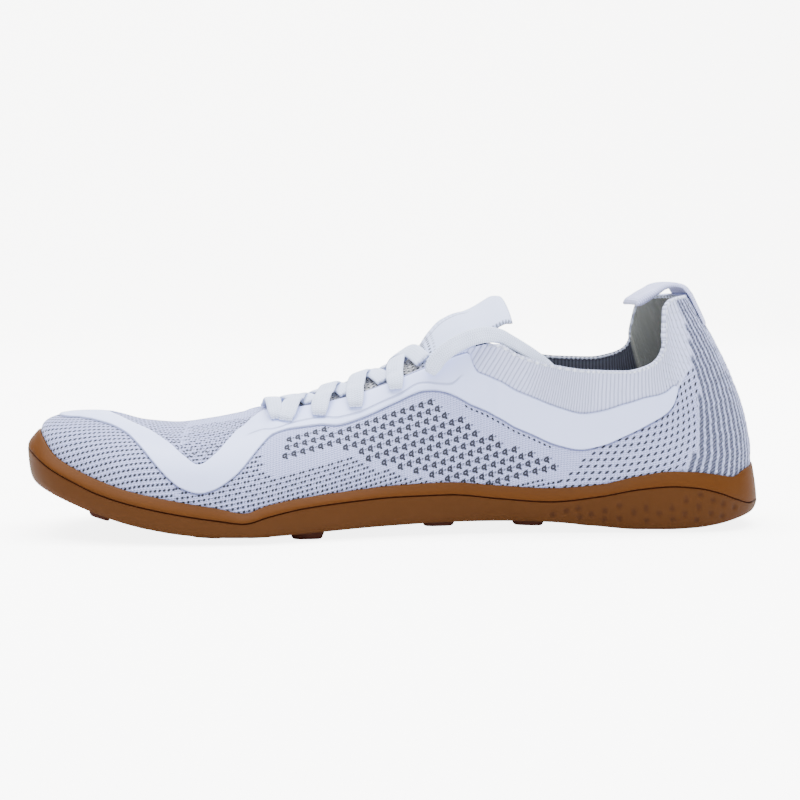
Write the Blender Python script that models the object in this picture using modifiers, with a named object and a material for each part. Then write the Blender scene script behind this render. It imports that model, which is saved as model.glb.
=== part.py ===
"""Right foot barefoot shoe: knitted bootie on a one piece rubber cup sole.

Everything is worked out from the named sizes and the short tables below.
The tables hold shares of LENGTH, WIDTH and HEIGHT, in mm of the drawn size. The toe points to -X,
the inner side of the foot is -Y and the sole's lugs stand on z = 0.
"""
import math

import bmesh
import bpy
import numpy as np
from mathutils import Vector
from mathutils.bvhtree import BVHTree

NAME = "barefoot_shoe"

MM = 0.001
LENGTH = 0.285                 # outsole length, heel back to toe tip
WIDTH = 0.0997                 # outsole width at the ball
HEIGHT = 0.0953                # floor to the top of the pull tab
TABLE_LENGTH = 285.0           # stations of the tables run from 0 to this
LONG = LENGTH / (TABLE_LENGTH / 1000)   # the tables' stations are shares of LENGTH
WIDE = WIDTH / 0.0997          # their widths are shares of WIDTH, written for 99.7 mm
TALL = HEIGHT / 0.0953         # their heights are shares of HEIGHT, written for 95.3 mm
HEEL_X = 0.035 * LONG          # heel back lies this far behind the frame origin

WALL = 0.0018                  # knit wall
CORE = 0.0042                  # rubber between tread and foot bed

# Outline of the sole seen from above, mm on each side of the middle line.
PLAN_COLUMNS = ("station", "inner", "outer", "middle")
PLAN = (
    (0, 33.0, 34.0, 0.0),
    (35, 33.0, 34.0, 0.0),
    (75, 30.3, 35.0, 0.0),
    (110, 28.5, 37.0, 0.0),
    (150, 33.0, 44.5, 0.0),
    (180, 40.3, 52.0, 0.0),
    (205, 46.0, 54.0, 0.0),
    (225, 44.8, 50.0, -0.8),
    (250, 37.5, 42.5, -3.4),
    (268, 32.0, 38.0, -6.2),
    (285, 31.0, 34.0, -9.0),
)
HEEL_CAP = 34.0
TOE_CAP = 40.0
CAP_POWER = 2.3

# Side of the sole: heights in mm of the tread face, the groove and the rim, and the rim's set-in.
SIDE_COLUMNS = ("station", "tread", "groove", "rim", "set_in")
SIDE = (
    (0, 6.5, 10.3, 24.3, 2.2),
    (8, 5.3, 10.0, 23.2, 2.3),
    (15, 4.2, 11.9, 20.6, 2.4),
    (23, 3.0, 14.8, 21.8, 2.4),
    (32, 2.1, 16.9, 22.9, 2.4),
    (42, 1.7, 17.6, 23.2, 2.4),
    (55, 1.7, 16.5, 21.5, 2.4),
    (70, 2.7, 13.8, 18.2, 2.4),
    (89, 4.2, 11.9, 16.9, 2.4),
    (108, 4.8, 13.2, 18.0, 2.4),
    (128, 4.9, 15.1, 19.6, 2.4),
    (147, 4.4, 14.9, 19.1, 2.4),
    (166, 3.7, 13.8, 17.6, 2.4),
    (184, 2.9, 12.1, 15.8, 2.4),
    (197, 2.4, 9.7, 13.6, 2.4),
    (206, 2.2, 7.4, 11.0, 2.4),
    (215, 2.4, 8.5, 12.8, 2.4),
    (228, 3.5, 10.5, 15.0, 2.5),
    (245, 6.4, 13.8, 18.2, 2.7),
    (259, 10.5, 17.9, 22.4, 2.9),
    (268, 14.0, 22.0, 26.4, 3.1),
    (277, 18.0, 26.8, 31.2, 3.5),
    (285, 22.0, 33.0, 39.0, 4.2),
)

# Collar rim: how much higher than the mean it stands on the outer side, and lower on the inner side, mm
LEAN_COLUMNS = ("foot", "rise")
LEAN = (
    (0, 0.0),
    (28, 0.0),
    (45, 0.9),
    (60, 1.1),
    (90, 1.1),
    (103, 0.6),
    (113, 0.0),
    (285, 0.0),
)

# Ribs of the upper: where the foot of a rib meets the outline, where its top stands, and its bow.
RIB_COLUMNS = ("foot", "top", "half", "height", "rise", "belly", "round", "drop")
RIBS = (
    (0.0, 29.5, 0.0, 90.6, 0.36, 0.8, 0.38, 0.23),
    (1.0, 29.8, 4.0, 90.6, 0.36, 0.8, 0.38, 0.23),
    (2.6, 31.0, 8.0, 90.5, 0.36, 0.8, 0.38, 0.24),
    (7.0, 34.0, 13.8, 90.2, 0.36, 1.0, 0.36, 0.25),
    (13.0, 39.3, 18.0, 89.3, 0.36, 1.4, 0.30, 0.28),
    (19.0, 42.8, 21.3, 85.5, 0.36, 1.8, 0.20, 0.30),
    (25.0, 43.4, 23.6, 79.0, 0.36, 2.0, 0.10, 0.32),
    (31.0, 43.8, 25.3, 73.2, 0.36, 2.0, 0.05, 0.33),
    (38.0, 46.2, 26.8, 67.8, 0.36, 2.0, 0.0, 0.33),
    (47.0, 51.0, 28.2, 64.8, 0.36, 2.0, 0.0, 0.33),
    (58.0, 60.0, 29.2, 62.9, 0.36, 2.2, 0.0, 0.33),
    (75.0, 75.0, 29.2, 63.3, 0.36, 2.5, 0.0, 0.33),
    (90.0, 90.0, 28.4, 65.5, 0.36, 2.6, 0.05, 0.33),
    (102.0, 102.0, 26.6, 68.7, 0.36, 2.4, 0.12, 0.30),
    (109.0, 108.7, 24.6, 71.8, 0.36, 2.2, 0.20, 0.28),
    (113.0, 112.5, 21.2, 71.6, 0.36, 2.1, 0.28, 0.24),
    (122.0, 122.0, 17.8, 68.2, 0.36, 2.0, 0.40, 0.19),
    (134.0, 134.0, 16.8, 63.4, 0.36, 2.0, 0.45, 0.17),
    (150.0, 150.0, 15.4, 56.6, 0.38, 2.0, 0.48, 0.15),
    (163.0, 163.0, 14.0, 51.8, 0.42, 1.8, 0.50, 0.13),
    (176.0, 175.6, 12.4, 48.6, 0.46, 1.6, 0.52, 0.12),
    (189.0, 187.6, 9.6, 46.6, 0.52, 1.5, 0.55, 0.08),
    (195.5, 193.3, 6.3, 46.0, 0.56, 1.4, 0.57, 0.05),
    (199.0, 196.0, 0.0, 45.8, 0.58, 1.4, 0.58, 0.03),
    (207.0, 203.5, 0.0, 44.2, 0.60, 1.3, 0.58, 0.02),
    (220.0, 214.5, 0.0, 42.0, 0.62, 1.2, 0.58, 0.02),
    (235.0, 227.5, 0.0, 40.5, 0.64, 1.2, 0.58, 0.02),
    (249.0, 239.0, 0.0, 41.5, 0.66, 1.2, 0.60, 0.01),
    (260.0, 247.5, 0.0, 43.4, 0.68, 1.1, 0.60, 0.01),
    (269.0, 254.0, 0.0, 44.7, 0.70, 1.0, 0.60, 0.01),
    (276.0, 258.6, 0.0, 45.1, 0.72, 0.8, 0.58, 0.02),
    (281.5, 261.6, 0.0, 45.2, 0.74, 0.6, 0.56, 0.03),
    (285.0, 263.5, 0.0, 45.2, 0.76, 0.6, 0.55, 0.03),
)

# Spacing of the ribs along the outline, mm
PITCH_COLUMNS = ("station", "pitch")
PITCH = (
    (0, 1.0),
    (6, 3.4),
    (40, 5.5),
    (70, 8.0),
    (100, 5.0),
    (112, 3.4),
    (128, 6.5),
    (180, 6.5),
    (190, 3.2),
    (200, 3.4),
    (212, 7.0),
    (255, 6.0),
    (276, 3.2),
    (285, 1.2),
)


def column(table, names, name):
    """One named column of a table as an array."""
    return np.array([row[names.index(name)] for row in table], dtype=float)


def read(table, names, name, at):
    """Smooth, overshoot-free reading of a table column against its first column."""
    x = column(table, names, names[0])
    y = column(table, names, name)
    at = np.clip(np.asarray(at, dtype=float), x[0], x[-1])
    step = np.diff(x)
    slope = np.diff(y) / step
    tangent = np.zeros(len(x))
    tangent[0] = slope[0]
    tangent[-1] = slope[-1]
    for i in range(1, len(x) - 1):
        if slope[i - 1] * slope[i] > 0:
            w1 = 2 * step[i] + step[i - 1]
            w2 = step[i] + 2 * step[i - 1]
            tangent[i] = (w1 + w2) / (w1 / slope[i - 1] + w2 / slope[i])
    i = np.clip(np.searchsorted(x, at, side="right") - 1, 0, len(x) - 2)
    h = step[i]
    t = (at - x[i]) / h
    return ((2 * t**3 - 3 * t**2 + 1) * y[i] + (t**3 - 2 * t**2 + t) * h * tangent[i]
            + (3 * t**2 - 2 * t**3) * y[i + 1] + (t**3 - t**2) * h * tangent[i + 1])


def cap(distance, radius):
    """Superellipse rounding of an end: 0 at the tip, 1 from the radius inwards."""
    left = np.clip(1 - np.asarray(distance, dtype=float) / radius, 0, 1)
    return (1 - left**CAP_POWER) ** (1 / CAP_POWER)


def plan_point(station, side):
    """Outline of the sole in mm: along (from the heel back) and across (outer side positive)."""
    station = np.asarray(station, dtype=float)
    width = read(PLAN, PLAN_COLUMNS, "inner" if side < 0 else "outer", station)
    full = width * cap(station, HEEL_CAP) * cap(TABLE_LENGTH - station, TOE_CAP)
    return station, read(PLAN, PLAN_COLUMNS, "middle", station) + side * full


def plan_inset(station, side, inset):
    """The outline moved inwards along its own normal, mm."""
    station = np.asarray(station, dtype=float)
    inset = np.broadcast_to(np.asarray(inset, dtype=float), station.shape)
    small = 0.02
    a = np.clip(station - small, 0, TABLE_LENGTH)
    b = np.clip(station + small, 0, TABLE_LENGTH)
    _, ya = plan_point(a, side)
    _, yb = plan_point(b, side)
    x, y = plan_point(station, side)
    dx = b - a
    dy = yb - ya
    long = np.hypot(dx, dy)
    nx = dy / long * -side
    ny = dx / long * side
    ends = (station <= 0.001) | (station >= 284.999)
    nx = np.where(ends, np.where(station < 100, -1.0, 1.0), nx)
    ny = np.where(ends, 0.0, ny)
    return x - nx * inset, y - ny * inset, nx, ny


def rib_stations(scale=1.0):
    """Stations along the outline, closer together where the form turns quickly."""
    s = [0.0]
    while s[-1] < TABLE_LENGTH:
        s.append(s[-1] + scale * float(read(PITCH, PITCH_COLUMNS, "pitch", s[-1])))
    s = np.array(s)
    return s * TABLE_LENGTH / s[-1]


def side_height(name, station):
    return read(SIDE, SIDE_COLUMNS, name, station)


def bed_height(station):
    """Foot bed of the sole, mm."""
    return side_height("tread", station) + CORE / MM


# rows of a rib up its bow, above two rows inside the sole's cup
UPPER_ROWS = (0.0, 0.13, 0.27, 0.42, 0.57, 0.72, 0.87, 1.0)


def upper_bow(station, side, v, lift=0.0):
    """Outer face of the upper in mm: v runs 0 at the rim of the sole to 1 at the top of the rib."""
    rim_in = side_height("set_in", station) + 1.0
    rx, ry, nx, ny = plan_inset(station, side, rim_in)
    rz = side_height("rim", station) - 0.4
    tx = read(RIBS, RIB_COLUMNS, "top", station)
    ty = read(PLAN, PLAN_COLUMNS, "middle", tx) + side * read(RIBS, RIB_COLUMNS, "half", station)
    tz = read(RIBS, RIB_COLUMNS, "height", station) + side * read(LEAN, LEAN_COLUMNS, "rise", station)
    rise = read(RIBS, RIB_COLUMNS, "rise", station)
    belly = read(RIBS, RIB_COLUMNS, "belly", station)
    around = read(RIBS, RIB_COLUMNS, "round", station)
    drop = read(RIBS, RIB_COLUMNS, "drop", station)
    p0 = np.array([rx, ry, rz])
    p3 = np.array([tx, ty, tz])
    p1 = np.array([rx + nx * belly, ry + ny * belly, rz + rise * (tz - rz)])
    p2 = np.array([tx + around * (rx - tx), ty + around * (ry - ty), tz - drop * (tz - rz)])
    v = np.asarray(v, dtype=float)
    p = (1 - v)**3 * p0 + 3 * (1 - v)**2 * v * p1 + 3 * (1 - v) * v**2 * p2 + v**3 * p3
    return p


# Film edges on the upper: foot of the rib, and the bow positions of its lower and upper edge.
FILM_COLUMNS = ("foot", "low", "high")
FILM = (
    (31.0, 0.615, 0.650),
    (33.0, 0.590, 0.672),
    (36.0, 0.550, 0.678),
    (42.0, 0.505, 0.690),
    (51.0, 0.450, 0.710),
    (60.0, 0.390, 0.685),
    (68.0, 0.340, 0.645),
    (77.0, 0.312, 0.620),
    (86.0, 0.345, 0.655),
    (96.0, 0.408, 0.698),
    (105.0, 0.440, 0.715),
    (112.0, 0.475, 0.735),
    (115.2, 0.495, 0.775),
    (117.0, 0.510, 0.880),
    (119.5, 0.535, 0.950),
    (124.0, 0.600, 0.970),
    (129.0, 0.665, 0.970),
    (134.0, 0.710, 0.970),
    (138.5, 0.730, 0.970),
    (148.0, 0.700, 0.970),
    (159.0, 0.645, 0.970),
    (169.0, 0.615, 0.970),
    (177.0, 0.655, 0.970),
    (187.5, 0.640, 0.965),
    (195.0, 0.570, 0.940),
    (198.5, 0.480, 0.900),
    (204.0, 0.360, 0.775),
    (210.0, 0.235, 0.635),
    (217.0, 0.130, 0.425),
    (223.0, 0.092, 0.325),
    (229.0, 0.115, 0.410),
    (235.0, 0.200, 0.540),
    (240.0, 0.310, 0.630),
    (246.0, 0.460, 0.730),
    (252.5, 0.595, 0.800),
    (257.0, 0.645, 0.840),
    (262.5, 0.680, 0.900),
    (267.0, 0.690, 0.945),
    (271.0, 0.700, 1.000),
    (276.0, 0.700, 1.000),
    (281.5, 0.640, 1.000),
    (285.0, 0.600, 1.000),
)
FILM_AIR = 0.00080             # film to knit
FILM_THICK = 0.0006
FULL_BOW = 0.9999              # from here on the film's upper edge is the crest itself

# Eyelets, from the toe end to the collar: rib foot and bow position
EYELET_COLUMNS = ("number", "foot", "bow")
EYELETS = (
    (1, 190.0, 0.780),
    (2, 177.0, 0.812),
    (3, 163.5, 0.812),
    (4, 149.5, 0.860),
    (5, 135.0, 0.885),
)
EYELET_BORE = 0.0040

# Tongue along its middle: top face height, half width, fall to the edge, rolled edge, and how far its
# outer edge is tilted up and its inner edge down
TONGUE_COLUMNS = ("station", "crest", "half", "fall", "roll", "tilt")
TONGUE = (
    (100.5, 86.3, 13.0, 2.0, 0.0, 4.5),
    (104.0, 87.1, 14.6, 2.4, 0.0, 4.5),
    (109.0, 84.8, 15.2, 2.8, 0.2, 4.2),
    (115.0, 81.4, 15.8, 3.2, 0.7, 3.6),
    (121.0, 77.9, 16.0, 3.9, 1.2, 2.8),
    (127.0, 73.5, 15.8, 4.6, 1.2, 1.8),
    (133.0, 68.3, 15.4, 5.2, 0.8, 0.8),
    (139.0, 64.4, 15.0, 5.4, 0.2, 0.0),
    (145.0, 61.4, 18.5, 9.0, 0.0, 0.0),
    (152.0, 58.4, 20.0, 11.0, 0.0, 0.0),
    (163.0, 54.0, 19.0, 10.0, 0.0, 0.0),
    (176.0, 50.0, 17.5, 8.5, 0.0, 0.0),
    (188.0, 46.4, 15.5, 7.0, 0.0, 0.0),
    (196.0, 43.4, 13.0, 6.0, 0.0, 0.0),
    (205.0, 40.6, 9.0, 4.0, 0.0, 0.0),
)
TONGUE_THICK = 0.0022
TONGUE_AIR = 0.0005
TONGUE_CROWN = 2.1             # power of the fall across it: flat in the middle, steep at the edges
ROLL_START = 0.6               # share of the half width where the rolled edge begins
ROLL_INNER = 0.6               # how much of the roll the inner edge has

# Lace
LACE_WIDTH = 0.0068
LACE_THICK = 0.0013
LACE_AIR = 0.0005

# Crossings, from the toe end: rise over the tongue and how far the end stays inside the throat edge, mm
CROSS_COLUMNS = ("number", "arch", "short")
CROSSES = (
    (1, 2.2, 3.4),
    (2, 2.2, 3.4),
    (3, 2.3, 4.0),
    (4, 3.6, 3.4),
)

BAR_SHORT = 1.4                # how far the bar's ends stay inside the throat edges, mm
BAR_ARCH = 0.0019              # rise of the bar over the tongue

# Loose end of the lace from the top inner eyelet: along, across, height in mm, lean of its face
LACE_END_COLUMNS = ("step", "along", "across", "height", "lean")
LACE_END = (
    (0, 136.4, -21.0, 60.4, 44.0),
    (1, 132.6, -21.8, 63.6, 40.0),
    (2, 126.4, -22.4, 68.2, 34.0),
    (3, 118.4, -23.4, 73.0, 32.0),
    (4, 111.0, -23.0, 76.2, 34.0),
    (5, 105.6, -21.6, 77.2, 38.0),
    (6, 100.0, -19.8, 74.6, 40.0),
    (7, 93.5, -18.4, 69.4, 40.0),
    (8, 87.0, -17.6, 64.0, 40.0),
    (9, 79.0, -17.0, 57.6, 40.0),
)

# Heel pull tab past the rim: along, height of its lower face, thickness
TAB_COLUMNS = ("step", "along", "under", "thick")
TAB = (
    (0, 29.7, 91.9, 1.6),
    (1, 31.8, 93.0, 1.6),
    (2, 35.2, 93.4, 1.8),
    (3, 39.0, 92.6, 2.2),
    (4, 42.5, 90.6, 2.6),
    (5, 45.7, 88.4, 3.0),
    (6, 48.6, 86.6, 3.0),
    (7, 50.8, 85.7, 2.2),
)
TAB_FOOT = 4.6                 # rib foot at the tab's edge, mm
TAB_LOW = 0.78                 # bow position of its lower end
TAB_AIR = 0.0006

INSOLE_THICK = 0.0025

# Tread: each row of lugs, how far its end lugs stand in from the edges, how many, how tall, how staggered
LUG_COLUMNS = ("station", "inner_set", "outer_set", "count", "tall", "stagger")
LUGS = (
    (18, 14.0, 14.0, 2, 1.6, 0.0),
    (35, 13.0, 14.0, 3, 2.4, 0.0),
    (53, 13.0, 13.0, 3, 2.0, 2.0),
    (71, 13.0, 12.0, 3, 1.6, 2.0),
    (96, 7.6, 11.0, 4, 2.3, 2.0),
    (114, 14.0, 11.0, 3, 1.6, 2.0),
    (131, 7.6, 11.0, 4, 2.3, 2.0),
    (148, 14.0, 11.0, 3, 1.6, 2.0),
    (165, 14.0, 11.0, 4, 1.6, 2.0),
    (182, 7.6, 11.0, 4, 3.2, 2.0),
    (200, 14.0, 12.0, 5, 2.8, 0.0),
    (219, 14.0, 12.0, 4, 3.2, 2.0),
    (239, 14.0, 12.0, 4, 1.6, 2.0),
    (258, 8.0, 11.0, 3, 2.3, 0.0),
)
LUG_LENGTH = 0.0125
LUG_WIDTH = 0.0068

RIB_SPACING = 1.45             # rib pitch of the solids, against the pitch table


def world(p):
    """Table millimetres to metres in the frame."""
    return Vector((HEEL_X - p[0] * MM * LONG, p[1] * MM * WIDE, p[2] * MM * TALL))


def collection(name, hidden=False):
    made = bpy.data.collections.new(name)
    bpy.context.scene.collection.children.link(made)
    made.hide_render = hidden
    return made


def material(name, colour, rough):
    made = bpy.data.materials.new(name)
    made.use_nodes = True
    shader = made.node_tree.nodes["Principled BSDF"]
    shader.inputs["Base Color"].default_value = (*colour, 1.0)
    shader.inputs["Roughness"].default_value = rough
    made.diffuse_color = (*colour, 1.0)
    return made


def piece(name, points, faces, into, look=None):
    """Mesh object from a loft, welded and facing outwards."""
    mesh = bpy.data.meshes.new(name)
    mesh.from_pydata([tuple(p) for p in points], [], faces)
    work = bmesh.new()
    work.from_mesh(mesh)
    bmesh.ops.remove_doubles(work, verts=work.verts, dist=0.00003)
    bmesh.ops.dissolve_degenerate(work, dist=0.00001, edges=work.edges)
    bmesh.ops.recalc_face_normals(work, faces=work.faces)
    work.to_mesh(mesh)
    work.free()
    made = bpy.data.objects.new(name, mesh)
    into.objects.link(made)
    if look is not None:
        mesh.materials.append(look)
    return made


def grid_faces(rows, columns, close_rows=False):
    """Quads of a grid whose points run row by row."""
    faces = []
    for r in range(rows if close_rows else rows - 1):
        n = (r + 1) % rows
        for c in range(columns - 1):
            faces.append((r * columns + c, r * columns + c + 1, n * columns + c + 1, n * columns + c))
    return faces


def grid_normals(grid, close_rows=False):
    """Normals of a grid of points, by the differences along its rows and columns."""
    if close_rows:
        down = np.roll(grid, -1, axis=0) - np.roll(grid, 1, axis=0)
    else:
        down = np.gradient(grid, axis=0)
    over = np.gradient(grid, axis=1)
    n = np.cross(over, down)
    size = np.linalg.norm(n, axis=2, keepdims=True)
    return n / np.maximum(size, 1e-12)


def slab(name, lower, upper, into, look, close_rows=False):
    """Closed solid between two grids of the same shape."""
    rows, columns = lower.shape[:2]
    count = rows * columns
    points = list(lower.reshape(-1, 3)) + list(upper.reshape(-1, 3))
    quads = grid_faces(rows, columns, close_rows)
    faces = [tuple(reversed(q)) for q in quads]
    faces += [tuple(i + count for i in q) for q in quads]
    for r in range(rows if close_rows else rows - 1):
        n = (r + 1) % rows
        for c in (0, columns - 1):
            a = r * columns + c
            b = n * columns + c
            faces.append((a, b, b + count, a + count))
    if not close_rows:
        for r in (0, rows - 1):
            for c in range(columns - 1):
                a = r * columns + c
                faces.append((a, a + 1, a + 1 + count, a + count))
    return piece(name, points, faces, into, look)


def rib_loop(spacing):
    """Ribs in order round the shoe: heel, inner side, toe, outer side."""
    s = rib_stations(spacing)
    return [(v, -1) for v in s] + [(v, 1) for v in s[-2:0:-1]]


def outer_points(foot, side, rows):
    """Outer face of the upper from inside the sole's cup to the top edge, in mm."""
    points = []
    set_in = float(side_height("set_in", foot))
    x, y, _, _ = plan_inset(foot, side, set_in + 3.2)
    points.append(np.array([float(x), float(y), float(bed_height(x)) + 1.35]))
    x, y, _, _ = plan_inset(foot, side, set_in + 1.7)
    low = float(bed_height(x)) + 1.6
    rim = float(side_height("rim", foot)) - 0.4
    points.append(np.array([float(x), float(y), low + 0.35 * (rim - low)]))
    for v in rows:
        points.append(np.array([float(c) for c in upper_bow(foot, side, v)]))
    return points


def film_high(foot):
    """Upper edge of the film; near the toe crest it reaches the crest itself."""
    high = float(read(FILM, FILM_COLUMNS, "high", foot))
    return 1.0 if foot > 262 and high > 0.97 else high


def film_points(foot, side, count, lift):
    """Points across the film strip at one rib, lifted off the knit."""
    low = float(read(FILM, FILM_COLUMNS, "low", foot))
    high = film_high(foot)
    return [surface_point(foot, side, low + (high - low) * c / (count - 1), lift) for c in range(count)]


def round_the_end(foot, side, v):
    """The bow at a foot that may run past the toe or heel onto the other side."""
    if foot > TABLE_LENGTH:
        return np.array(upper_bow(570 - foot, -side, v), dtype=float)
    if foot < 0:
        return np.array(upper_bow(-foot, -side, v), dtype=float)
    return np.array(upper_bow(foot, side, v), dtype=float)


NEAR_BY = 0.6                  # how far along the foot the surface is probed for its direction, mm


def surface_point(foot, side, v, lift):
    """Point on the outer face of the upper moved out along the normal, metres."""
    p = round_the_end(foot, side, v)
    crest = v > 0.999 and float(read(RIBS, RIB_COLUMNS, "half", foot)) < 0.001 and foot > 150
    if crest:
        ahead = round_the_end(min(TABLE_LENGTH, foot + NEAR_BY), side, 1.0)
        a = ahead - round_the_end(foot - NEAR_BY, side, 1.0)
        n = np.array([-a[2], 0.0, a[0]])
    else:
        a = round_the_end(foot + NEAR_BY, side, v) - round_the_end(foot - NEAR_BY, side, v)
        u = round_the_end(foot, side, min(1.0, v + 0.015)) - round_the_end(foot, side, max(0.0, v - 0.015))
        n = np.cross(u, a) * side
    n = n / max(np.linalg.norm(n), 1e-9)
    return world(p) + Vector((-n[0], n[1], n[2])) * lift


def add_boolean(target, cutter, operation):
    mod = target.modifiers.new(operation.lower(), "BOOLEAN")
    mod.operation = operation
    mod.solver = "EXACT"
    mod.object = cutter
    return mod


# build begins
for old in list(bpy.data.objects):
    bpy.data.objects.remove(old, do_unlink=True)

parts = collection(NAME)
cutters = collection("cutters", hidden=True)

gum = material("gum_rubber", (0.36, 0.15, 0.04), 0.6)
knit = material("white_knit", (0.80, 0.82, 0.86), 0.85)
film_look = material("white_film", (0.86, 0.88, 0.93), 0.4)
tongue_look = material("tongue_knit", (0.72, 0.74, 0.78), 0.85)
lace_look = material("lace_cotton", (0.88, 0.89, 0.92), 0.8)
tab_look = material("tab_webbing", (0.78, 0.79, 0.86), 0.8)
bed_look = material("insole_foam", (0.70, 0.70, 0.72), 0.9)

LOOP = rib_loop(RIB_SPACING)
HALF = len(LOOP) // 2


# The outsole: rings of the side, set in from the outline, then the tread and foot bed across.
def sole_ring(inset_of, height_of):
    ring = []
    for s, side in LOOP:
        x, y, _, _ = plan_inset(s, side, inset_of(s))
        ring.append(np.array([float(x), float(y), float(height_of(s, float(x)))]))
    return ring


def tread_lift(s, share):
    """Part of the side's height between tread and groove."""
    return share * (side_height("groove", s) - side_height("tread", s))


def rim_in(s):
    return float(side_height("set_in", s))


rings = [
    sole_ring(lambda s: 6.4, lambda s, x: side_height("tread", x) + tread_lift(s, 0.05)),
    sole_ring(lambda s: 2.5, lambda s, x: side_height("tread", x) + tread_lift(s, 0.32)),
    sole_ring(lambda s: 0.8, lambda s, x: side_height("tread", x) + tread_lift(s, 0.66)),
    sole_ring(lambda s: 0.1, lambda s, x: side_height("groove", s) - 0.9),
    sole_ring(lambda s: 0.9, lambda s, x: side_height("groove", s)),
    sole_ring(lambda s: 0.2, lambda s, x: side_height("groove", s) + 0.9),
    sole_ring(lambda s: 0.45 * rim_in(s), lambda s, x: side_height("rim", s)
              - 0.35 * (side_height("rim", s) - side_height("groove", s))),
    sole_ring(rim_in, lambda s, x: side_height("rim", s)),
    sole_ring(lambda s: rim_in(s) + 1.2, lambda s, x: bed_height(x) + 1.6
              + 0.33 * (side_height("rim", s) - 0.4 - bed_height(x) - 1.6)),
    sole_ring(lambda s: rim_in(s) + 2.6, lambda s, x: bed_height(x) + 0.8),
    sole_ring(lambda s: rim_in(s) + 4.4, lambda s, x: bed_height(x)),
]
count = len(LOOP)
sole_points = [world(p) for ring in rings for p in ring]
sole_faces = []
for r in range(len(rings) - 1):
    for i in range(count):
        j = (i + 1) % count
        sole_faces.append((r * count + i, r * count + j, (r + 1) * count + j, (r + 1) * count + i))


def across(ring_index, height_of, columns):
    """Ladder of quads between the inner and outer side of a ring."""
    base = ring_index * count
    previous = None
    for i in range(1, HALF):
        a = rings[ring_index][i]
        b = rings[ring_index][count - i]
        row = [base + i]
        for c in range(1, columns):
            t = c / columns
            p = a * (1 - t) + b * t
            sole_points.append(world((p[0], p[1], float(height_of(p[0])))))
            row.append(len(sole_points) - 1)
        row.append(base + count - i)
        if previous is None:
            for c in range(columns):
                sole_faces.append((base, row[c], row[c + 1]))
        else:
            for c in range(columns):
                sole_faces.append((previous[c], row[c], row[c + 1], previous[c + 1]))
        previous = row
    for c in range(columns):
        sole_faces.append((base + HALF, previous[c], previous[c + 1]))


across(0, lambda x: side_height("tread", x) + 0.05, 2)
across(len(rings) - 1, lambda x: bed_height(x), 2)
outsole = piece("outsole", sole_points, sole_faces, parts, gum)


# Lugs: tapered six sided studs standing on the floor, or following the tread where it lifts.
lug_shapes = bmesh.new()
for row_number, (station, inner_set, outer_set, lug_count, tall, stagger) in enumerate(LUGS):
    _, y_in, _, _ = plan_inset(float(station), -1, inner_set)
    _, y_out, _, _ = plan_inset(float(station), 1, outer_set)
    for k in range(int(lug_count)):
        t = k / (lug_count - 1)
        y = float(y_in) * (1 - t) + float(y_out) * t
        along = station + (stagger if (row_number + k) % 2 else -stagger) * (1 if 0 < k else 0)
        tread = float(side_height("tread", along))
        foot_z = max(0.0, tread - tall)
        top_z = tread + 0.9
        made = bmesh.ops.create_cone(lug_shapes, cap_ends=True, cap_tris=False, segments=6,
                                     radius1=0.40, radius2=0.5, depth=1.0)
        slope = float(side_height("tread", along + 3) - side_height("tread", along - 3)) / 6
        if foot_z <= 0.0:
            slope = 0.0
        for vert in made["verts"]:
            u = vert.co.x * LUG_LENGTH / MM
            w = vert.co.y * LUG_WIDTH / MM
            z = foot_z if vert.co.z < 0 else top_z
            vert.co = world((along + u, y + w, z + slope * u))
lug_mesh = bpy.data.meshes.new("lug_shapes")
bmesh.ops.recalc_face_normals(lug_shapes, faces=lug_shapes.faces)
lug_shapes.to_mesh(lug_mesh)
lug_shapes.free()
lugs = bpy.data.objects.new("lug_shapes", lug_mesh)
lugs.display_type = "WIRE"
lugs.hide_render = True
cutters.objects.link(lugs)
add_boolean(outsole, lugs, "UNION")


# The insole lies inside the foot of the upper.
def insole_ring(inset, lift):
    ring = []
    for s, side in LOOP:
        x, y, _, _ = plan_inset(s, side, rim_in(s) + inset)
        ring.append(np.array([float(x), float(y), float(bed_height(x)) + lift]))
    return ring


def insole_grid(lift):
    edge = insole_ring(6.0, lift)
    rows = []
    for i in range(2, HALF - 1, 2):
        a = edge[i]
        b = edge[count - i]
        row = []
        for c in range(4):
            t = c / 3
            p = a * (1 - t) + b * t
            row.append(world((p[0], p[1], float(bed_height(p[0])) + lift)))
        rows.append(row)
    return np.array([[tuple(p) for p in row] for row in rows])


insole = slab("insole", insole_grid(0.35), insole_grid(0.35 + INSOLE_THICK / MM), parts, bed_look)


# The upper: ribs round the shoe, one sheet with a wall.
upper_points = []
for s, side in LOOP:
    upper_points += [world(p) for p in outer_points(s, side, UPPER_ROWS)]
rows_per_rib = len(UPPER_ROWS) + 2
upper_faces = grid_faces(count, rows_per_rib, close_rows=True)


def sheet(name, points, faces, into, look):
    """Welded open sheet whose faces keep the order they were given."""
    mesh = bpy.data.meshes.new(name)
    mesh.from_pydata([tuple(p) for p in points], [], faces)
    work = bmesh.new()
    work.from_mesh(mesh)
    bmesh.ops.remove_doubles(work, verts=work.verts, dist=0.00003)
    bmesh.ops.dissolve_degenerate(work, dist=0.00001, edges=work.edges)
    work.to_mesh(mesh)
    work.free()
    made = bpy.data.objects.new(name, mesh)
    into.objects.link(made)
    mesh.materials.append(look)
    return made


def add_wall(target, thickness, offset):
    mod = target.modifiers.new("wall", "SOLIDIFY")
    mod.thickness = thickness
    mod.offset = offset
    mod.use_even_offset = False
    mod.use_quality_normals = True
    return mod


upper = sheet("upper", upper_points, upper_faces, parts, knit)
add_wall(upper, WALL, -1.0)

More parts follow.
